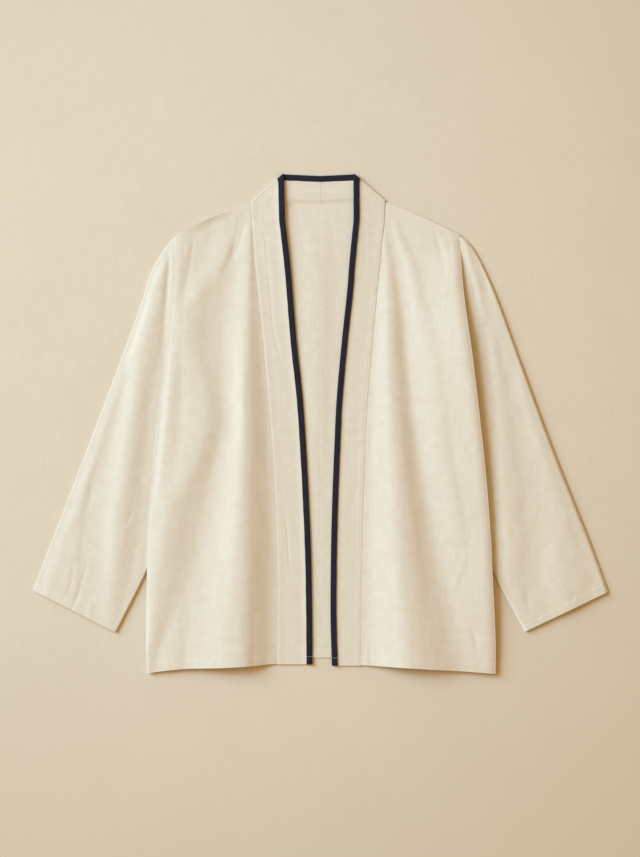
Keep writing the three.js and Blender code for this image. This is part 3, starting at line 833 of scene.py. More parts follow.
class NodeCanvas:
    """Builds the nodes of one material."""

    def __init__(self, name: str) -> None:
        """Starts an empty material.

        Args:
            name: Its name.
        """
        self.material = bpy.data.materials.new(name)
        self.material.use_nodes = True
        self.tree = self.material.node_tree
        self.tree.nodes.clear()
        self.shader = self.tree.nodes.new("ShaderNodeBsdfPrincipled")
        output = self.tree.nodes.new("ShaderNodeOutputMaterial")
        self.tree.links.new(self.shader.outputs["BSDF"], output.inputs["Surface"])

    def node(self, kind: str, settings: dict[str, object] | None = None,
             **inputs: object) -> bpy.types.Node:
        """Adds a node.

        Args:
            kind: Blender's name of the node type.
            settings: Properties to set on it.
            **inputs: Values or sockets for its inputs, by name with underscores for spaces, or
                by number after "at".

        Returns:
            The node.
        """
        made = self.tree.nodes.new(kind)
        for key, value in (settings or {}).items():
            setattr(made, key, value)
        for key, value in inputs.items():
            place = int(key[2:]) if key.startswith("at") and key[2:].isdigit() else None
            socket = made.inputs[place if place is not None else key.replace("_", " ")]
            if isinstance(value, bpy.types.NodeSocket):
                self.tree.links.new(value, socket)
            else:
                socket.default_value = value
        return made

    def math(self, operation: str, first: object, second: object = 0.0) -> bpy.types.NodeSocket:
        """A number worked out from two others."""
        made = self.node("ShaderNodeMath", {"operation": operation}, at0=first, at1=second)
        return made.outputs[0]

    def weighted(self, *parts: tuple[bpy.types.NodeSocket, float]) -> bpy.types.NodeSocket:
        """Adds up numbers, each times its weight.

        Args:
            *parts: The numbers with their weights.

        Returns:
            Their sum.
        """
        total = None
        for value, weight in parts:
            part = self.math("MULTIPLY", value, weight)
            total = part if total is None else self.math("ADD", total, part)
        return total

    def mix(self, factor: object, first: object, second: object) -> bpy.types.NodeSocket:
        """A colour between two others."""
        made = self.node("ShaderNodeMix", {"data_type": "RGBA"}, at0=factor, at6=first, at7=second)
        return made.outputs[2]

    def noise(self, vector: object, scale: float, detail: float,
              roughness: float = 0.5) -> bpy.types.NodeSocket:
        """Adds a noise texture.

        Args:
            vector: Its coordinates.
            scale: How fine it is.
            detail: How many finer layers it has.
            roughness: How strong they are.

        Returns:
            Its value.
        """
        made = self.node("ShaderNodeTexNoise", Vector=vector, Scale=scale, Detail=detail,
                         Roughness=roughness)
        return made.outputs["Fac"]

    def spread(self, value: object, low: float, high: float, start: float = 0.0,
               end: float = 1.0) -> bpy.types.NodeSocket:
        """Takes a value from one range to another, smoothly.

        Args:
            value: The value.
            low: Start of its own range.
            high: End of its own range.
            start: What it is taken to at the low end.
            end: What it is taken to at the high end.

        Returns:
            The new value.
        """
        made = self.node("ShaderNodeMapRange", {"interpolation_type": "SMOOTHSTEP"}, at0=value,
                         at1=low, at2=high, at3=start, at4=end)
        return made.outputs[0]

    def scaled(self, vector: object, scale: tuple[float, float, float],
               turn: float = 0.0) -> bpy.types.NodeSocket:
        """Turns coordinates about z and stretches them.

        Args:
            vector: The coordinates.
            scale: How much they are stretched, along each axis.
            turn: Angle they are turned by, in radians.

        Returns:
            The new coordinates.
        """
        turned = self.node("ShaderNodeMapping", Vector=vector, Rotation=(0.0, 0.0, turn))
        made = self.node("ShaderNodeMapping", Vector=turned.outputs[0], Scale=scale)
        return made.outputs[0]

    def shade(self, base: object, roughness: float, bump: object, depth: float,
              strength: float, **others: float) -> None:
        """Sets the inputs of the shader.

        Args:
            base: Its colour.
            roughness: Its roughness.
            bump: Height of its fine relief.
            depth: Depth of the relief, in metres.
            strength: How strongly the relief shows.
            **others: Its other inputs, by name with underscores for spaces.
        """
        made = self.node("ShaderNodeBump", Strength=strength, Distance=depth, Height=bump)
        self.tree.links.new(base, self.shader.inputs["Base Color"])
        self.tree.links.new(made.outputs[0], self.shader.inputs["Normal"])
        self.shader.inputs["Roughness"].default_value = roughness
        for key, value in others.items():
            self.shader.inputs[key.replace("_", " ")].default_value = value


@dataclass(frozen=True)
class LinenFinish:
    """Matte plain-woven cotton-linen with slubs, on a piece's weave map.

    Attributes:
        name: Name of the material.
        light: Colour of the paler tint, and painted light on the raised threads of the weave.
        dark: Colour of the deeper tint, and painted shade between the threads of the weave.
        pitch: Distance between threads, in metres.
        turn: Angle of the grain to the piece's map.
        roughness: Roughness of the cloth.
        sheen: Weight of its sheen.
        slub: How strongly thick threads show, from 0 to 1.
    """

    name: str = "cotton_linen"
    light: tuple[float, float, float] = (0.832, 0.736, 0.596)
    dark: tuple[float, float, float] = (0.742, 0.634, 0.480)
    pitch: float = 0.00055
    turn: float = 0.0
    roughness: float = 0.92
    sheen: float = 0.12
    slub: float = 1.0

    def make(self) -> bpy.types.Material:
        """Builds the material.

        Returns:
            The material, with weave, slubs, a cloudy tint and painted shade between the threads.
        """
        canvas = NodeCanvas(self.name)
        place = canvas.node("ShaderNodeUVMap", {"uv_map": "weave"}).outputs[0]
        grain = canvas.scaled(place, (1, 1, 1), self.turn)
        wander = canvas.noise(canvas.scaled(grain, (60, 60, 60)), 3, 1)
        parts = canvas.node("ShaderNodeSeparateXYZ", Vector=grain)
        waves = []
        for axis in (0, 1):
            count = canvas.math("MULTIPLY", parts.outputs[axis], math.pi / self.pitch)
            shifted = canvas.math("ADD", count, canvas.math("MULTIPLY", wander, 5.0))
            waves.append(canvas.math("SINE", shifted))
        weave = canvas.math("MULTIPLY", waves[0], waves[1])
        weft = canvas.noise(canvas.scaled(grain, (55, 900, 1)), 1.0, 2)
        warp = canvas.noise(canvas.scaled(grain, (900, 42, 1)), 1.0, 2)
        thick_weft = canvas.spread(weft, 0.60, 0.74)
        thick_warp = canvas.spread(warp, 0.62, 0.76)
        slubs = canvas.math("MAXIMUM", thick_weft, thick_warp)
        cloudy = canvas.noise(canvas.scaled(grain, (1, 1, 1)), 70, 4, 0.62)
        streaks = canvas.noise(canvas.scaled(grain, (260, 18, 1)), 1.0, 3)
        # The weave's term paints shade between the threads and light on the raised ones; the rest is
        # the cloth's own tint.
        tint = canvas.weighted((cloudy, 0.55), (streaks, 0.30), (weave, 0.10),
                               (slubs, -0.16 * self.slub))
        factor = canvas.spread(tint, 0.12, 0.72)
        base = canvas.mix(factor, (*self.dark, 1.0), (*self.light, 1.0))
        height = canvas.weighted((weave, 0.35), (slubs, 0.5 * self.slub), (cloudy, 1.6),
                                 (streaks, 0.5))
        canvas.shade(base, self.roughness, height, depth=0.00035, strength=0.32,
                     Sheen_Weight=self.sheen, Sheen_Roughness=0.6, Specular_IOR_Level=0.25)
        return canvas.material


@dataclass(frozen=True)
class FloorFinish:
    """A pale, slightly mottled studio floor, with painted shade that darkens it away from its middle.

    Attributes:
        name: Name of the material.
        light: Its paler colour.
        dark: Its deeper colour.
        far: Its colour away from its middle, painted shade where the light falls off.
        middle: Middle of the painted pool of light, in metres.
        reach: Distances at which the painted shade begins and ends to turn it to its far colour.
    """

    name: str = "studio_floor"
    light: tuple[float, float, float] = (0.770, 0.648, 0.492)
    dark: tuple[float, float, float] = (0.747, 0.624, 0.468)
    far: tuple[float, float, float] = (0.682, 0.560, 0.404)
    middle: tuple[float, float, float] = (-0.08, 0.06, 0.0)
    reach: tuple[float, float] = (0.35, 0.90)

    def make(self) -> bpy.types.Material:
        """Builds the material.

        Returns:
            The material, with a faint woven mottle and painted shade away from its middle.
        """
        canvas = NodeCanvas(self.name)
        place = canvas.node("ShaderNodeTexCoord").outputs["Object"]
        upright = canvas.noise(canvas.scaled(place, (300, 26, 1)), 1.0, 3)
        level = canvas.noise(canvas.scaled(place, (60, 160, 1)), 1.0, 2)
        cloudy = canvas.noise(place, 9, 3)
        sum_all = canvas.math("ADD", canvas.math("ADD", upright, level), cloudy)
        base = canvas.mix(canvas.spread(sum_all, 1.2, 1.8), (*self.dark, 1.0), (*self.light, 1.0))
        # Painted shade: the floor turns to its darker far colour away from its middle, as the light
        # falls off.
        away = canvas.node("ShaderNodeVectorMath", {"operation": "DISTANCE"}, at0=place,
                           at1=self.middle).outputs["Value"]
        base = canvas.mix(canvas.spread(away, *self.reach, 0.0, 0.9), base, (*self.far, 1.0))
        canvas.shade(base, 0.9, sum_all, depth=0.0002, strength=0.15, Specular_IOR_Level=0.1)
        return canvas.material


@dataclass(frozen=True)
class ThreadFinish:
    """Sewing thread, slightly mottled along its length.

    Attributes:
        name: Name of the material.
        light: Its paler colour.
        dark: Its deeper colour.
    """

    name: str
    light: tuple[float, float, float]
    dark: tuple[float, float, float]

    def make(self) -> bpy.types.Material:
        """Builds the material.

        Returns:
            The material.
        """
        canvas = NodeCanvas(self.name)
        place = canvas.node("ShaderNodeTexCoord").outputs["Object"]
        twist = canvas.noise(place, 2600, 2)
        base = canvas.mix(twist, (*self.dark, 1.0), (*self.light, 1.0))
        canvas.shade(base, 0.7, twist, depth=0.00005, strength=0.4, Sheen_Weight=0.2)
        return canvas.material


CREAM_THREAD = ThreadFinish("cream_thread", (0.80, 0.70, 0.55), (0.66, 0.55, 0.40))
WHITE_THREAD = ThreadFinish("white_thread", (0.86, 0.82, 0.74), (0.74, 0.69, 0.60))
NAVY_THREAD = ThreadFinish("navy_thread", (0.030, 0.036, 0.070), (0.018, 0.022, 0.045))
SHIRT_LINEN = LinenFinish()
BINDING_COTTON = LinenFinish(
    name="navy_bias_cotton", light=(0.0160, 0.0128, 0.0205), dark=(0.0096, 0.0076, 0.0135),
    pitch=0.00042, turn=math.pi / 4, roughness=0.85, sheen=0.06, slub=0.35)


# ---------- Stitches ----------

@dataclass(frozen=True)
class StitchRow:
    """A row of machine stitches along a path on a surface.

    Attributes:
        path: Points of the path, in millimetres.
        pitch: Distance from stitch to stitch, in metres.
        length: Length of a stitch, in metres.
        thickness: Width of a stitch, in metres.
        finish: Its thread.
    """

    path: Array
    pitch: float = 0.0031
    length: float = 0.0025
    thickness: float = 0.00042
    finish: ThreadFinish = CREAM_THREAD


class StitchMaker:
    """Makes rows of stitches with one Geometry Nodes tree."""

    def __init__(self) -> None:
        """Builds the tree."""
        self.tree = self._build_tree()
        self.materials: dict[str, bpy.types.Material] = {}

    @staticmethod
    def _build_tree() -> bpy.types.NodeTree:
        """Builds the tree that sets stitches along a path.

        Returns:
            The tree, with inputs Pitch, Length, Thickness, Seed and Thread.
        """
        tree = bpy.data.node_groups.new("stitch_row", "GeometryNodeTree")
        for name, kind, way in (
                ("Geometry", "Geometry", "INPUT"), ("Pitch", "Float", "INPUT"),
                ("Length", "Float", "INPUT"), ("Thickness", "Float", "INPUT"),
                ("Seed", "Int", "INPUT"), ("Thread", "Material", "INPUT"),
                ("Geometry", "Geometry", "OUTPUT")):
            tree.interface.new_socket(name, in_out=way, socket_type="NodeSocket" + kind)
        (start, end, to_curve, to_points, bead, size, stretch, flatter, vary, place, turn,
         realize, smooth, paint) = (
            tree.nodes.new(kind) for kind in (
                "NodeGroupInput", "NodeGroupOutput", "GeometryNodeMeshToCurve",
                "GeometryNodeCurveToPoints", "GeometryNodeMeshUVSphere", "ShaderNodeCombineXYZ",
                "GeometryNodeTransform", "ShaderNodeMath", "FunctionNodeRandomValue",
                "GeometryNodeInstanceOnPoints", "FunctionNodeAlignRotationToVector",
                "GeometryNodeRealizeInstances", "GeometryNodeSetShadeSmooth",
                "GeometryNodeSetMaterial"))
        to_points.mode = "LENGTH"
        bead.inputs["Segments"].default_value = 6
        bead.inputs["Rings"].default_value = 4
        bead.inputs["Radius"].default_value = 0.5
        flatter.operation = "MULTIPLY"
        flatter.inputs[1].default_value = 0.7
        vary.data_type = "FLOAT"
        vary.inputs[2].default_value = 0.88
        vary.inputs[3].default_value = 1.08
        turn.axis = "X"
        for source, target in (
                (start.outputs["Geometry"], to_curve.inputs[0]),
                (to_curve.outputs[0], to_points.inputs["Curve"]),
                (start.outputs["Pitch"], to_points.inputs["Length"]),
                (start.outputs["Length"], size.inputs[0]),
                (start.outputs["Thickness"], size.inputs[1]),
                (start.outputs["Thickness"], flatter.inputs[0]),
                (flatter.outputs[0], size.inputs[2]),
                (bead.outputs[0], stretch.inputs["Geometry"]),
                (size.outputs[0], stretch.inputs["Scale"]),
                (start.outputs["Seed"], vary.inputs["Seed"]),
                (to_points.outputs["Points"], place.inputs["Points"]),
                (stretch.outputs[0], place.inputs["Instance"]),
                (to_points.outputs["Tangent"], turn.inputs["Vector"]),
                (turn.outputs[0], place.inputs["Rotation"]),
                (vary.outputs[1], place.inputs["Scale"]),
                (place.outputs[0], realize.inputs[0]),
                (realize.outputs[0], smooth.inputs[0]),
                (smooth.outputs[0], paint.inputs["Geometry"]),
                (start.outputs["Thread"], paint.inputs["Material"]),
                (paint.outputs[0], end.inputs[0])):
            tree.links.new(source, target)
        return tree

    def _thread(self, finish: ThreadFinish) -> bpy.types.Material:
        """Finds the material of a thread, made once.

        Args:
            finish: The thread.

        Returns:
            Its material.
        """
        if finish.name not in self.materials:
            self.materials[finish.name] = finish.make()
        return self.materials[finish.name]

    def make(self, name: str, rows: Sequence[StitchRow], seed: int) -> bpy.types.Object:
        """Sews several rows as one piece.

        Args:
            name: Name of the piece.
            rows: Its rows of stitches, all of one thread.
            seed: Seed of their small differences.

        Returns:
            The stitches, a plain mesh.
        """
        first = rows[0]
        points = np.concatenate([row.path for row in rows])
        edges, start = [], 0
        for row in rows:
            edges += [(start + i, start + i + 1) for i in range(len(row.path) - 1)]
            start += len(row.path)
        mesh = bpy.data.meshes.new(name + "_path")
        mesh.from_pydata((points * MM).tolist(), edges, [])
        path = link(name + "_path", mesh)
        modifier = path.modifiers.new("stitches", "NODES")
        modifier.node_group = self.tree
        values = {"Pitch": first.pitch, "Length": first.length, "Thickness": first.thickness,
                  "Seed": seed, "Thread": self._thread(first.finish)}
        for item in self.tree.interface.items_tree:
            if item.item_type == "SOCKET" and item.in_out == "INPUT" and item.name in values:
                modifier[item.identifier] = values[item.name]
        bpy.context.view_layer.update()
        evaluated = path.evaluated_get(bpy.context.evaluated_depsgraph_get())
        made_mesh = bpy.data.meshes.new_from_object(evaluated)
        made_mesh.name = name
        made = link(name, made_mesh)
        path.modifiers.remove(modifier)
        bpy.data.objects.remove(path)
        return made


# ---------- Pieces ----------

@dataclass(frozen=True)
class Hem:
    """A turned and stitched hem.

    Attributes:
        depth: From the edge to its stitches.
        lift: How much the turned layers raise the cloth.
        groove: How deep the stitches pull it in.
        tug: Height of the unevenness that the sewing leaves.
        steps: Places of the mesh rows across it.
    """

    depth: float = 14.0
    lift: float = 0.2
    groove: float = 0.08
    tug: float = 0.10
    steps: tuple[float, ...] = (0, 0.5, 1.2, 2.6, 4.4, 6.4, 8.4, 10.4, 12, 13, 13.5, 14, 14.5, 15, 16,
                                17.5)

    def height(self, distance: Array, along: Array) -> Array:
        """Change in the cloth's top near the hem.

        Args:
            distance: Distance from the edge.
            along: Distance along the edge, for the unevenness of the sewing.

        Returns:
            How much higher the top lies.
        """
        layers = self.lift * (1 - ease(self.depth - 0.9, self.depth + 1.3, distance))
        pull = self.groove * bell(distance, self.depth, 0.9)
        tug = ripple(along, (11, 7.3, 17), (0.5, 2.2, 4.1)) * bell(distance, 9, 9)
        return layers - pull + self.tug * tug


@dataclass(frozen=True)
class Panel:
    """What the body panels and the sleeves have in common.

    Attributes:
        lay: How high every layer lies.
        hem: Their turned hem.
        linen: The shirt's cloth.
        stitcher: What sews the stitches.
    """

    lay: Lay
    hem: Hem
    linen: bpy.types.Material
    stitcher: StitchMaker

    def dress(self, piece: bpy.types.Object, node: str, cloth: bpy.types.Material | None = None,
              slot: str = "shirt_cloth") -> None:
        """Gives a piece its cloth and puts it on the shirt.

        Args:
            piece: The piece.
            node: The CAD node that it replaces.
            cloth: Its cloth, if it isn't the shirt's.
            slot: Name of a material slot; not used.
        """
        piece.data.materials.clear()
        piece.data.materials.append(cloth or self.linen)
        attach(piece, BODY)
        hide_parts(node)

    def sew(self, name: str, rows: Sequence[StitchRow], seed: int,
            slot: str = "shirt_cloth") -> bpy.types.Object:
        """Sews rows of stitches and puts them on the shirt.

        Args:
            name: Name of the stitches.
            rows: Their rows, all of one thread.
            seed: Seed of their small differences.
            slot: Name of a material slot; not used.

        Returns:
            The stitches.
        """
        made = self.stitcher.make(name, rows, seed)
        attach(made, BODY)
        return made


@dataclass(frozen=True)
class FrontPanel(Panel):
    """One front, from the side seam to the band seam.

    Attributes:
        side: Which front.
        step: Size of the mesh.
        width: Width that the places of its columns are counted on.
        stitch_run: Where its row of stitches starts and ends across it, and its path's points.
        flat: Width and length of its cut, in metres.
        area: Area of its cut, in square metres.
    """

    side: Side = Side.RIGHT
    step: float = 2.3
    width: float = 170.0
    stitch_run: tuple[float, float, int] = (0.012, 0.985, 160)
    flat: tuple[float, float] = (0.205, 0.715)
    area: float = 0.115

    def middle_length(self) -> float:
        """Measures the front half way across it.

        Returns:
            Its length there.
        """
        plan = self.lay.plan
        hem = Curve(plan.hem, self.side.column).at(0.5)
        return float(plan.shoulder_y(self.side, np.array(0.5)) - hem)

    def surface(self, across: Array, up_distance: Array) -> Array:
        """Points of the top of the front.

        Args:
            across: From side edge (0) to band seam (1).
            up_distance: Distance from the hem, or from it to the shoulder where it is one row.

        Returns:
            Points, in millimetres.
        """
        column = self.side.column
        plan = self.lay.plan
        hem = Curve(plan.hem, column).at(across)
        length = plan.shoulder_y(self.side, across) - hem
        full = self.middle_length()
        up = np.clip(up_distance / full, 0, 1)
        near = ease(0, 40, up_distance)
        up = lerp(up_distance / length, up, near)
        x, y = plan.point(self.side, column, across, up)
        top = self.lay.front_top(self.side, x, y) + self.hem.height(up * length, x)
        return np.stack([x, y, top], axis=-1)

    def build(self) -> bpy.types.Object:
        """Builds the front and its hem stitches.

        Returns:
            The front.
        """
        full = self.middle_length()
        rows = spaced(full, self.step, self.hem.steps)
        rows = np.concatenate([rows[:-1], full - np.array([1.2, 0.5, 0.15, 0.0])])
        columns = spaced(self.width, self.step, (0, 0.2, 0.6, 1.2, 2, 3, 4.2, 5.6)) / self.width
        across, distance = np.meshgrid(columns, rows)
        if self.side is Side.LEFT:
            across = across[:, ::-1]
        upper = self.surface(across, distance)
        lower = upper.copy()
        bare = self.lay.front_top(self.side, upper[..., 0], upper[..., 1])
        lower[..., 2] = bare - CLOTH
        name = f"front_{self.side.value}"
        piece = shell_from_grids(name + "_cloth", upper, lower, upper[..., :2])
        self.dress(piece, name)
        t = np.linspace(*self.stitch_run)
        path = self.surface(t, np.full_like(t, self.hem.depth))
        path[:, 2] += THREAD_LIFT
        stitches = self.sew(f"hem_stitches_{self.side.value}",
                            [StitchRow(path, thickness=HEM_THREAD)], seed=11)
        return piece


@dataclass(frozen=True)
class BackPanel(Panel):
    """The back: one panel from side to side, below everything but the tucked sleeves.

    Attributes:
        step: Size of the mesh.
        length: Length that the places of its rows are counted on.
        panel: Width beside the band seam that its columns are counted on.
        seam_groove: Depth of the pressed line down its middle.
        hem_floor: Most that its hem's stitches pull it in, as a height.
        waviness: Height of the slight waves in its middle.
        stitch_run: Where its row of stitches starts and ends across it, and its path's points.
        flat: Width and length of its cut, in metres.
        area: Area of its cut, in square metres.
    """

    step: float = 4.0
    length: float = 690.0
    panel: float = 165.0
    seam_groove: float = 0.05
    hem_floor: float = -0.3
    waviness: float = 0.10
    stitch_run: tuple[float, float, int] = (0.01, 2.99, 300)
    flat: tuple[float, float] = (0.54, 0.715)
    area: float = 0.34

    def plan_points(self, across: Array, up: Array) -> tuple[Array, Array]:
        """Plan position of points of the back.

        Args:
            across: From the right side edge (0) over the band seams (1 and 2) to the left (3).
            up: From hem (0) to shoulder and neck (1).

        Returns:
            x and y of the points.
        """
        plan = self.lay.plan
        right = plan.point(Side.RIGHT, 3, np.clip(across, 0, 1), up)
        left = plan.point(Side.LEFT, 3, np.clip(3 - across, 0, 1), up)
        t = np.clip(across - 1, 0, 1)
        corners = (plan.shoulder_y(Side.RIGHT, np.array(1.0))
                   + plan.shoulder_y(Side.LEFT, np.array(1.0))) / 2
        hem_drop = (plan.back_hem - plan.hem[-1][3]) * (1 - up) * np.sin(math.pi * t)
        neck_dip = (corners - plan.back_neck + 0.6) * up * np.sin(math.pi * t)
        x = lerp(right[0], left[0], t)
        y = lerp(right[1], left[1], t) + hem_drop - neck_dip
        return x, y

    def top(self, x: Array, y: Array, from_hem: Array) -> Array:
        """Works out the top of the back, with its hem and its pressed middle.

        Args:
            x: Plan positions.
            y: Plan positions.
            from_hem: Distances from the hem.

        Returns:
            Heights of its upper surface there.
        """
        wave = self.waviness * ripple(x + 0.2 * y, (37, 23, 61), (0.7, 2.4, 3.9)) + self.waviness
        middle = self.seam_groove * bell(x, -0.5, 1.1)
        ease_middle = 1 - ease(30, 60, np.abs(x))
        hem = self.hem.height(from_hem, x) * (1 - ease(40, 60, np.abs(x)))
        bare = self.lay.back_under(x, y) + CLOTH + (wave - middle) * ease_middle
        return bare + np.maximum(hem, self.hem_floor)

    def build(self) -> bpy.types.Object:
        """Builds the back and its hem stitches.

        Returns:
            The back.
        """
        length = self.length
        rows = spaced(length, self.step, self.hem.steps) / length
        edge = spaced(self.panel, 4.4, (0, 0.5, 1.5, 3, 5)) / self.panel
        middle = np.concatenate([np.linspace(0, 0.46, 22), np.linspace(0.47, 0.53, 14),
                                 np.linspace(0.54, 1, 22)])
        columns = np.concatenate([edge, 1 + middle[1:-1], 3 - edge[::-1]])
        across, up = np.meshgrid(columns, rows)
        x, y = self.plan_points(across, up)
        under = self.lay.back_under(x, y)
        top = self.top(x, y, up * length)
        upper = np.stack([x, y, top], axis=-1)
        lower = np.stack([x, y, under], axis=-1)
        piece = shell_from_grids("back_cloth", upper, lower, upper[..., :2])
        self.dress(piece, "back")
        t = np.linspace(*self.stitch_run)
        row = np.full_like(t, self.hem.depth / length)
        px, py = self.plan_points(t, row)
        path = np.stack([px, py, self.top(px, py, row * length) + THREAD_LIFT], axis=-1)
        stitches = self.sew("hem_stitches_back", [StitchRow(path, thickness=HEM_THREAD)], seed=12)
        return piece


@dataclass(frozen=True)
class Sleeve(Panel):
    """One sleeve: a flattened tube from below the body to the cuff.

    Attributes:
        side: Which sleeve.
        rows: Rings of the mesh along it.
        columns: Columns of the mesh across it, between its rounded edges.
        length: Length that the places of its rings are counted on.
        round_edge: Reach of its folded edges.
        fold_line: Height of the line it is folded at, as part of its top there.
        edge_reach: Distance from its edges at which its folds have their full height.
        stitch_run: Where its row of stitches starts and ends across it, and its path's points.
        flat: Width and length of its cut, in metres.
        area: Area of its cut, in square metres.
    """

    side: Side = Side.RIGHT
    rows: int = 170
    columns: int = 66
    length: float = 560.0
    round_edge: float = 2.0
    fold_line: float = 0.8
    edge_reach: float = 24.0
    stitch_run: tuple[float, float, int] = (0.03, 0.975, 90)
    flat: tuple[float, float] = (0.57, 0.47)
    area: float = 0.146

    def stations(self) -> tuple[Array, Array]:
        """Where the rings are, as fractions of its length and distances from the cuff."""
        from_cuff = spaced(self.length, self.length / self.rows, self.hem.steps)[::-1]
        return 1 - from_cuff / self.length, from_cuff

    def across(self, fraction: Array, at: Array) -> tuple[Array, Array, Array]:
        """Plan points across the sleeve.

        Args:
            fraction: Place along it, from armhole (0) to cuff (1).
            at: Place across it, from inner (0) to outer edge (1).

        Returns:
            x, y and the width of the sleeve there.
        """
        plan = SLEEVE_PLANS[self.side]
        outer, inner = plan.outer_at(fraction), plan.inner_at(fraction)
        width = np.hypot(*np.moveaxis(outer - inner, -1, 0))
        x = lerp(inner[..., 0], outer[..., 0], at)
        y = lerp(inner[..., 1], outer[..., 1], at)
        return x, y, width

    def edge_tops(self, at: Array) -> Array:
        """Height of its top at the edge nearer to places across it, mixed in its middle."""
        folds = SLEEVE_FOLDS[self.side]
        return lerp(folds.inner_top, folds.outer_top, ease(0.3, 0.7, at))

    def top(self, x: Array, y: Array, at: Array, width: Array, from_cuff: Array) -> Array:
        """Height of its upper layer.

        Args:
            x: Plan positions.
            y: Plan positions.
            at: Places across it, from inner (0) to outer edge (1).
            width: Width of the sleeve there.
            from_cuff: Distances from the cuff.

        Returns:
            Heights of its upper surface.
        """
        from_edge = np.minimum(at, 1 - at) * width
        high = self.lay.sleeve_top(self.side, x, y)
        outside = self.side.sign * (x - self.lay.plan.side_x(self.side, y))
        edge_top = np.minimum(self.edge_tops(at), high)
        high = edge_top + (high - edge_top) * ease(0, self.edge_reach, from_edge)
        hem = self.hem.height(from_cuff, x * 1.1) * ease(1, 6, from_edge)
        return high + np.where(outside > 0, hem, 0) * ease(0, 3, outside)

    def build(self) -> bpy.types.Object:
        """Builds the sleeve and its cuff stitches.

        Returns:
            The sleeve.
        """
        fraction, from_cuff = self.stations()
        edge = np.array([0, 0.2, 0.6, 1.2, 2.0, 3.0, 4.0, 5.0])
        inner_part = np.linspace(0, 1, self.columns)[1:-1]
        count = 2 * len(edge) + len(inner_part)
        at = np.zeros((len(fraction), count))
        _, _, width = self.across(fraction, np.zeros_like(fraction))
        for i, w in enumerate(width):
            distances = np.concatenate([edge, lerp(edge[-1], w - edge[-1], inner_part),
                                        w - edge[::-1]])
            at[i] = distances / w
        along = np.repeat(fraction[:, None], count, axis=1)
        x, y, width = self.across(along, at)
        from_edge = np.minimum(at, 1 - at) * width
        cuff = np.repeat(from_cuff[:, None], count, axis=1)
        top = self.top(x, y, at, width, cuff)
        middle = self.fold_line * np.minimum(self.edge_tops(at), top)
        curve = roll(from_edge, self.round_edge)
        outer_top = middle + (top - middle) * curve
        outer_under = middle * (1 - curve)
        lining = 0.5 * (1 - np.cos(math.pi * np.clip(at, 0, 1)))
        shift = CLOTH * (1 - 2 * lining) / width
        in_x, in_y, _ = self.across(along, at + shift)
        inner_top = middle + (np.maximum(top - CLOTH, 0.5 * top) - middle) * curve
        inner_under = middle + (np.minimum(CLOTH, middle) - middle) * curve
        inner_top = np.maximum(inner_top, inner_under)

        def ring(px: Array, py: Array, high: Array, low: Array) -> Array:
            """Rings of points, over the top and back below.

            Args:
                px: Plan positions across it.
                py: Plan positions across it.
                high: Heights of the upper layer.
                low: Heights of the lower layer.

            Returns:
                The rings.
            """
            upper = np.stack([px, py, high], axis=-1)
            lower = np.stack([px, py, low], axis=-1)[:, -2:0:-1]
            return np.concatenate([upper, lower], axis=1)

        outer = ring(x, y, outer_top, outer_under)
        inner = ring(in_x, in_y, inner_top, inner_under)
        rings, size = outer.shape[:2]
        first = rings * size
        faces = [ring_quads(rings, size), ring_quads(rings, size, first)[:, ::-1]]
        for end, turned in ((0, True), (rings - 1, False)):
            index = np.arange(size) + end * size
            after = np.roll(index, -1)
            rim = np.stack([index, after, after + first, index + first], axis=-1)
            faces.append(rim[:, ::-1] if turned else rim)
        points = np.concatenate([outer.reshape(-1, 3), inner.reshape(-1, 3)])
        position = at * width
        around = np.concatenate([position, (2 * width - position)[:, -2:0:-1]], axis=1)
        down = np.repeat((self.length - from_cuff)[:, None], size, axis=1)
        weave = np.stack([around, down], axis=-1).reshape(-1, 2)
        faces_all = np.concatenate(faces)
        name = f"sleeve_{self.side.value}"
        piece = new_object(name + "_cloth", points, outward(points, faces_all).tolist(),
                           np.concatenate([weave, weave]))
        self.dress(piece, name)
        t = np.linspace(*self.stitch_run)
        mark = np.full_like(t, 1 - self.hem.depth / self.length)
        px, py, w = self.across(mark, t)
        height = self.top(px, py, t, w, np.full_like(t, self.hem.depth))
        path = np.stack([px, py, height + THREAD_LIFT], axis=-1)
        stitches = self.sew(f"cuff_stitches_{self.side.value}",
                            [StitchRow(path, thickness=HEM_THREAD)], seed=13)
        return piece


# ---------- Neckband and binding ----------

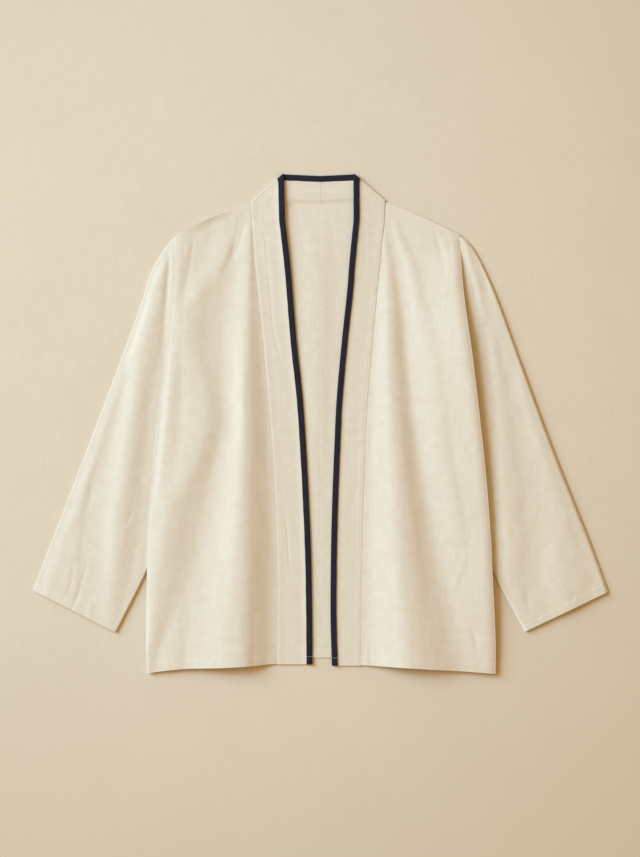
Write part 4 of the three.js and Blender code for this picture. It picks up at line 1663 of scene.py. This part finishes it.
@dataclass(frozen=True)
class BandPlan:
    """Line of one half of the neckband, from the hem over the mitre to the centre back.

    Attributes:
        side: Which half.
        front: Rows of (y, seam x, free x, underside at seam, underside at free edge).
        neck_point: Plan point where the band seam meets the shoulder.
        corner: Plan point of the bound corner.
        mitre_under: Undersides at the mitre: front seam, front free, back seam, back free.
        back_neck: y of its seam and of its free edge at the centre back.
        overlap: How far its folded edge laps over the seam.
        thickness: Its two layers, with their turnings.
        counts: Sections along the front, up to the mitre, and over the back.
        bend: Angles, in degrees, at which sections go round the mitre.
    """

    side: Side
    front: Rows
    neck_point: tuple[float, float]
    corner: tuple[float, float]
    mitre_under: tuple[float, float, float, float] = (2.3, 4.6, 0.35, 1.2)
    back_neck: tuple[float, float] = (329.6, 372.2)
    overlap: float = 1.6
    thickness: float = 1.2
    counts: tuple[int, int, int] = (280, 12, 34)
    bend: tuple[float, ...] = (90, 75, 60, 45, 30, 15, 0, -15, -30, -45, -60, -75, -90)

    def sections(self) -> tuple[Array, Array, Array]:
        """Sections along the band.

        Returns:
            Middle points of the seam edge and of the free edge, and which sections are folding.
        """
        rows, rise, over = self.counts
        y = np.linspace(self.front[-1][0], self.front[0][0], rows)
        seam_x, free_x, seam_under, free_under = (Curve(self.front, c).at(y) for c in (1, 2, 3, 4))
        half = self.thickness / 2
        seam = [np.stack([seam_x, y, seam_under + half], axis=-1)]
        free = [np.stack([free_x, y, free_under + half], axis=-1)]
        neck, corner = np.array(self.neck_point), np.array(self.corner)
        line = (corner - neck) / np.linalg.norm(corner - neck)
        out = np.array([-line[1], line[0]]) * -self.side.sign
        front_seam, front_free, back_seam, back_free = self.mitre_under

        def turned(point: Array, high: float, low: float) -> Array:
            """Takes an edge of the band round the mitre.

            Args:
                point: Plan point that it goes round.
                high: Its underside before the turn.
                low: Its underside after the turn.

            Returns:
                Points of the edge.
            """
            angle = np.radians(np.array(self.bend, dtype=float))
            radius = (high - low) / 2
            reach = 0.3 * radius * (np.cos(angle) - 1) - half
            height = (high + low) / 2 + radius * np.sin(angle) + half
            plan = point + out * reach[:, None]
            return np.concatenate([plan, height[:, None]], axis=1)

        fold_seam = turned(neck, front_seam, back_seam)
        fold_free = turned(corner, front_free, back_free)
        centre = 0.1 * self.side.sign
        end_seam = np.array([centre, self.back_neck[0], back_seam + half])
        end_free = np.array([centre, self.back_neck[1], back_free + half])

        def between(a: Array, b: Array, count: int) -> Array:
            """Points evenly spaced between two others."""
            t = np.linspace(0, 1, count + 2)[1:-1, None]
            return lerp(a, b, t)

        seam += [between(seam[0][-1], fold_seam[0], rise), fold_seam,
                 between(fold_seam[-1], end_seam, over), end_seam[None]]
        free += [between(free[0][-1], fold_free[0], rise), fold_free,
                 between(fold_free[-1], end_free, over), end_free[None]]
        folding = np.repeat([False, True, False], [rows + rise, len(self.bend), over + 1])
        return np.concatenate(seam), np.concatenate(free), folding

    def frames(self) -> tuple[Array, Array, Array, Array, Array]:
        """Sections with their directions.

        Returns:
            Seam points, free points, directions across, outward normals, and how askew each
            section is cut.
        """
        seam, free, folding = self.sections()
        across = free - seam
        across /= np.linalg.norm(across, axis=1, keepdims=True)
        padded = np.concatenate([free[:1], free, free[-1:]])
        along = padded[2:] - padded[:-2]
        along /= np.linalg.norm(along, axis=1, keepdims=True)
        normal = np.cross(across, along) * -self.side.sign
        size = np.linalg.norm(normal, axis=1)
        askew = np.where(folding, 1 / math.cos(math.pi / 4), 1 / np.maximum(size, 0.4))
        return seam, free, across, normal / size[:, None], askew


BAND_PLANS = {
    side: BandPlan(side, BAND_ROWS[side], NECK_POINTS[side], corner)
    for side, corner in ((Side.RIGHT, (-55.5, 375.4)), (Side.LEFT, (50, 375.4)))
}


@dataclass(frozen=True)
class Neckband(Panel):
    """One half of the neckband, a folded strip stitched over the seam.

    Attributes:
        side: Which half.
        width: Its folded width.
        inset: Its free edge lies this far inside the binding.
        stitch_in: Distance of its topstitching from its folded edge.
        groove: How deep the topstitching pulls it in.
        puff: How much it swells between its edge and its topstitching.
        pucker: Height of the puckers beside its topstitching.
        waviness: Height of its long waves.
        edge_thickness: Its thickness right at its pressed edge.
        taper: Distance over which it reaches its full thickness.
        sink: How far it comes down past the edge of the front that it laps over.
        sink_by: Distance from its edge at which it has come down.
        creases: Pressed creases on its upper face.
        thread_lift: How far its stitches stand above it.
        flat: Width and length of its cut, in metres.
    """

    side: Side = Side.RIGHT
    width: float = 45.0
    inset: float = 0.6
    stitch_in: float = 4.0
    groove: float = 0.09
    puff: float = 0.04
    pucker: float = 0.09
    waviness: float = 0.10
    edge_thickness: float = 0.15
    taper: float = 10.0
    sink: float = 0.8
    sink_by: float = 10.0
    creases: tuple[Fold, ...] = ()
    thread_lift: float = 0.04
    flat: tuple[float, float] = (0.047, 0.86)

    def build(self) -> bpy.types.Object:
        """Builds the half band and its topstitching.

        Returns:
            The half band.
        """
        plan = BAND_PLANS[self.side]
        seam, free, across, normal, askew = plan.frames()
        start = seam - across * (plan.overlap * askew)[:, None]
        end = free - across * (self.inset * askew)[:, None]
        places = np.concatenate([[0, 0.4, 0.9, 1.5, 2.2, 2.9, 3.4, 3.8, 4.2, 4.6, 5.2, 6.2],
                                 np.linspace(7.6, self.width, 26)])
        t = places / self.width
        grid = start[:, None] + (end - start)[:, None] * t[None, :, None]
        half = np.full_like(places, plan.thickness / 2)
        pressed = (plan.thickness - self.edge_thickness) * (1 - ease(0, self.taper, places))
        facing = 0.5 + 0.5 * np.clip(3 * normal[:, 2], -1, 1)[:, None]
        length = travelled(free)
        groove = self.groove * bell(places, self.stitch_in, 0.6)
        puff = self.puff * bell(places, 2, 1.3)
        pucker = ripple(length, (12, 8.3, 19), (0.2, 1.4, 3.3))[:, None]
        near_stitch = bell(places - self.stitch_in, 1.5, 5)[None, :]
        wave = ripple(length, (71, 43, 120), (1.2, 2.9, 0.3))[:, None] * np.sin(
            math.pi * t)[None, :]
        top_relief = (half - groove + puff + self.pucker * pucker * near_stitch
                      + self.waviness * wave)
        crease = fold_heights(self.creases, grid[..., 0], grid[..., 1])
        upright = np.clip(normal[:, 2], 0, 1)[:, None]
        sink = self.sink * ease(1.7, self.sink_by, places) * (1 - ease(30, 44, places)) * upright
        top_relief = top_relief - pressed * facing - 1.3 * sink
        upper = grid + normal[:, None] * (top_relief + crease * upright)[..., None]
        under_relief = half - 0.6 * groove - pressed * (1 - facing) + sink
        lower = grid - normal[:, None] * under_relief[..., None]
        weave = np.stack([np.broadcast_to(places, grid.shape[:2]),
                          np.broadcast_to(length[:, None], grid.shape[:2])], axis=-1)
        name = f"neckband_{self.side.value}"
        piece = shell_from_grids(name + "_cloth", upper, lower, weave)
        self.dress(piece, name)
        place = int(np.argmin(np.abs(places - self.stitch_in)))
        lift = normal * self.thread_lift
        turn = sum(plan.counts[:2]) + len(plan.bend)
        paths = (upper[:, place] + lift)[4:turn - 1], (lower[:, place] - lift)[turn + 1:]
        stitches = self.sew(f"band_stitches_{self.side.value}",
                            [StitchRow(path, thickness=BAND_THREAD) for path in paths], seed=14)
        return piece


@dataclass(frozen=True)
class NeckBinding(Panel):
    """The navy binding, one strip round the free edge of the band from hem to hem.

    Attributes:
        width: How much of the band it covers.
        wall: Its thickness, two turned layers.
        slack: Air allowed between it and the band.
        stitch_in: Distance of its stitches from its inner edge.
        stitch_sink: How deep its stitches lie in it.
        tack_in: Distance of its tacks from its ends.
        tack_margin: Distance of its tacks from both its edges.
        tack_lift: How far its tacks stand above its stitches.
        wobble: How much its width varies, as a part of it.
        stitched: Sections between which its edge is stitched, from either end.
        flat: Width and length of its cut, in metres.
        cotton: Its cloth.
    """

    width: float = 9.0
    wall: float = 0.42
    slack: float = 0.12
    stitch_in: float = 1.3
    stitch_sink: float = 0.02
    tack_in: float = 13.0
    tack_margin: float = 0.8
    tack_lift: float = 0.12
    wobble: float = 0.018
    stitched: tuple[int, int] = (3, 296)
    flat: tuple[float, float] = (0.02, 1.71)
    cotton: bpy.types.Material | None = None

    def profile(self, half_band: float) -> Array:
        """Makes the section of the binding.

        Args:
            half_band: Half the band's thickness.

        Returns:
            Points of (distance in from its edge, distance out).
        """
        slot = half_band + self.slack
        half = slot + self.wall
        outer = [(self.width, half - 0.16), (self.width - 0.35, half), (self.width - 1.3, half - 0.10),
                 (self.width - 2.4, half), (self.width - 4.5, half + 0.05), (2.4, half),
                 (1.2, half - 0.05), (0.5, half * 0.78), (0.12, half * 0.42), (0.0, 0.0)]
        mirrored = [(back, -out) for back, out in outer[-2::-1]]
        inner = [(self.width - 0.1, -slot), (self.wall + 0.15, -slot), (self.wall + 0.05, 0.0),
                 (self.wall + 0.15, slot), (self.width - 0.1, slot)]
        return np.array(outer + mirrored + inner)

    def build(self) -> bpy.types.Object:
        """Builds the binding, its stitches and the tacks at its ends.

        Returns:
            The binding.
        """
        halves = []
        for side in (Side.RIGHT, Side.LEFT):
            _, free, across, normal, askew = BAND_PLANS[side].frames()
            part = [free, across, normal, askew]
            halves.append([p[::-1][1:] for p in part] if side is Side.LEFT else part)
        free, across, normal, askew = (np.concatenate([a, b]) for a, b in zip(*halves))
        half_band = BAND_PLANS[Side.RIGHT].thickness / 2
        shape = self.profile(half_band)
        length = travelled(free)
        wobble = 1 + self.wobble * ripple(length, (37, 23, 71), (0.3, 2.2, 4.4))
        back = shape[None, :, 0] * (askew * wobble)[:, None]
        rings = (free[:, None] - across[:, None] * back[..., None]
                 + normal[:, None] * shape[None, :, 1, None])
        count = len(shape)
        faces = [ring_quads(len(free), count)]
        points = rings.reshape(-1, 3)
        # The inner point that each of the outer points meets where an end is closed.
        inner = np.repeat([23, 22, 21, 20, 19], [6, 2, 3, 2, 6]).tolist()
        for end, turned in ((0, True), (len(free) - 1, False)):
            first = end * count
            cap = [(first + a, first + a + 1, first + inner[a + 1], first + inner[a])
                   for a in range(len(inner) - 1)]
            faces.append(np.array(cap)[:, ::-1] if turned else np.array(cap))
        around = np.concatenate([[0], np.cumsum(np.hypot(*np.diff(shape, axis=0).T))])
        weave = np.stack([np.broadcast_to(around, rings.shape[:2]),
                          np.broadcast_to(length[:, None], rings.shape[:2])], axis=-1)
        turned_faces = outward(points, np.concatenate(faces)).tolist()
        # A cap's quad with a repeated corner becomes a triangle.
        solid = [[c for i, c in enumerate(face) if c != face[i - 1]] for face in turned_faces]
        piece = new_object("neck_binding_cloth", points, solid, weave.reshape(-1, 2))
        self.dress(piece, "neck_binding", self.cotton, "binding_cloth")
        stitches = self._stitch(free, across, normal, askew, half_band)
        return piece

    def _stitch(self, free: Array, across: Array, normal: Array, askew: Array,
                half_band: float) -> list[bpy.types.Object]:
        """Sews the binding's edge and tacks its ends.

        Args:
            free: Points of the bound edge.
            across: Directions from seam to bound edge.
            normal: Outward normals.
            askew: How askew each section is.
            half_band: Half the band's thickness.

        Returns:
            The stitches of its edge and of its ends.
        """
        out = half_band + self.slack + self.wall - self.stitch_sink
        inwards = (self.width - self.stitch_in) * askew
        path = free - across * inwards[:, None] + normal * out
        first, last = self.stitched
        rows = [StitchRow(part[first:last], finish=NAVY_THREAD, thickness=EDGE_THREAD)
                for part in (path, path[::-1])]
        edge = self.sew("binding_stitches", rows, seed=15, slot="binding_cloth")
        tacks = []
        for order in (slice(None), slice(None, None, -1)):
            line, direction, up = free[order], across[order], normal[order]
            i = int(np.argmin(np.abs(travelled(line) - self.tack_in)))
            reach = np.linspace(self.tack_margin, self.width - self.tack_margin, 12)[:, None]
            tacks.append(StitchRow(line[i] - direction[i] * reach + up[i] * (out + self.tack_lift),
                                   pitch=0.0022, length=0.0019, finish=WHITE_THREAD))
        return [edge, self.sew("end_tacks", tacks, seed=16)]


# ---------- Studio ----------

@dataclass(frozen=True)
class Studio:
    """Floor, lights and camera.

    Attributes:
        frame_height: Height of what the camera sees on the floor, in metres.
        aim: Plan point that the camera looks at, in metres.
        lens: Focal length, in millimetres.
        sensor: Height of the sensor, in millimetres.
        key_direction: Direction from the shirt to the main light.
        key_distance: Distance of the main light.
        key_size: Width and height of the main light.
        key_power: Power of the main light.
        key_color: Its colour.
        fill_color: Colour of the light from all round.
        fill_strength: Its strength.
        floor_size: Width of the floor.
        floor_z: Its height, just below the cloth.
    """

    frame_height: float = 1.2855
    aim: tuple[float, float] = (-0.00075, -0.0064)
    lens: float = 85.0
    sensor: float = 36.0
    key_direction: tuple[float, float, float] = (-0.80, 0.44, 0.47)
    key_distance: float = 7.5
    key_size: float = 4.6
    key_power: float = 1103.0
    key_color: tuple[float, float, float] = (0.4815, 0.7385, 1.0)
    fill_color: tuple[float, float, float] = (1.0, 0.667, 0.294)
    fill_strength: float = 0.56
    floor_size: float = 6.0
    floor_z: float = -0.0003

    def build(self) -> None:
        """Makes the floor, the lights and the camera."""
        half = self.floor_size / 2
        mesh = bpy.data.meshes.new("floor")
        corners = [(x * half, y * half, self.floor_z)
                   for x, y in ((-1, -1), (1, -1), (1, 1), (-1, 1))]
        mesh.from_pydata(corners, [], [(0, 1, 2, 3)])
        floor = link("floor", mesh)
        mesh.materials.append(FloorFinish().make())
        self._lights()
        self._camera()

    def _lights(self) -> None:
        """Makes the main light and the light from all round."""
        direction = Vector(self.key_direction).normalized()
        data = bpy.data.lights.new("key", "AREA")
        data.shape = "SQUARE"
        data.size = self.key_size
        data.energy = self.key_power
        data.color = self.key_color
        key = link("key", data)
        key.location = direction * self.key_distance
        key.rotation_euler = direction.to_track_quat("Z", "Y").to_euler()
        world = bpy.data.worlds.new("soft_fill")
        world.use_nodes = True
        background = world.node_tree.nodes["Background"]
        background.inputs["Color"].default_value = (*self.fill_color, 1.0)
        background.inputs["Strength"].default_value = self.fill_strength
        bpy.context.scene.world = world

    def _camera(self) -> None:
        """Makes the camera, straight above the shirt."""
        data = bpy.data.cameras.new("camera")
        data.lens = self.lens
        data.sensor_fit = "VERTICAL"
        data.sensor_height = self.sensor
        camera = link("camera", data)
        distance = self.frame_height * self.lens / self.sensor
        camera.location = (self.aim[0], self.aim[1], distance)
        bpy.context.scene.camera = camera
        bpy.context.scene.view_settings.view_transform = "Standard"


# ---------- The shirt ----------

RIGHT_BAND_CREASES = (
    Fold(((316, -102, 3, 3, 0), (303, -94, 3, 3, -0.3), (285, -84, 3, 4, -0.3),
          (240, -80, 3, 4, -0.32), (190, -75, 3, 4, -0.32), (150, -72, 3, 4, -0.3),
          (115, -65, 3, 4, -0.25), (90, -57, 3, 4, 0))),
    Fold(((-125, -52.5, 3, 4, 0), (-150, -51, 3, 4, -0.35), (-205, -47, 3, 4, -0.35),
          (-222, -46, 3, 4, 0))),
)
LEFT_BAND_CREASES = (
    Fold(((300, 66, 4, 5, 0), (280, 67, 4, 5, -0.15), (245, 66, 4, 5, -0.12),
          (230, 65, 4, 5, 0))),
    Fold(((-80, 56, 2, 3, 0), (-95, 54, 2, 3, -0.2), (-125, 45, 2, 3, -0.15),
          (-135, 42, 2, 3, 0))),
)


def main() -> None:
    """Builds the shirt and its studio, and reports each piece."""
    logging.basicConfig(level=logging.INFO, format="%(name)s: %(message)s")
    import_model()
    Studio().build()
    linen = SHIRT_LINEN.make()
    common = {"lay": Lay(), "hem": Hem(), "linen": linen, "stitcher": StitchMaker()}
    makers: list[Callable[[], bpy.types.Object]] = [
        Sleeve(side=Side.RIGHT, **common).build,
        Sleeve(side=Side.LEFT, round_edge=5.0, fold_line=0.5, **common).build,
        BackPanel(**common).build,
        FrontPanel(side=Side.RIGHT, **common).build,
        FrontPanel(side=Side.LEFT, **common).build,
        Neckband(side=Side.RIGHT, creases=RIGHT_BAND_CREASES, groove=0.05, edge_thickness=0.2,
                 **common).build,
        Neckband(side=Side.LEFT, creases=LEFT_BAND_CREASES, groove=0.14, edge_thickness=0.25,
                 **common).build,
        NeckBinding(cotton=BINDING_COTTON.make(), **common).build,
    ]
    for make in makers:
        piece = make()
        piece.data.calc_loop_triangles()
        LOG.info("%s: %d triangles", piece.name, len(piece.data.loop_triangles))


if __name__ == "__main__":
    main()
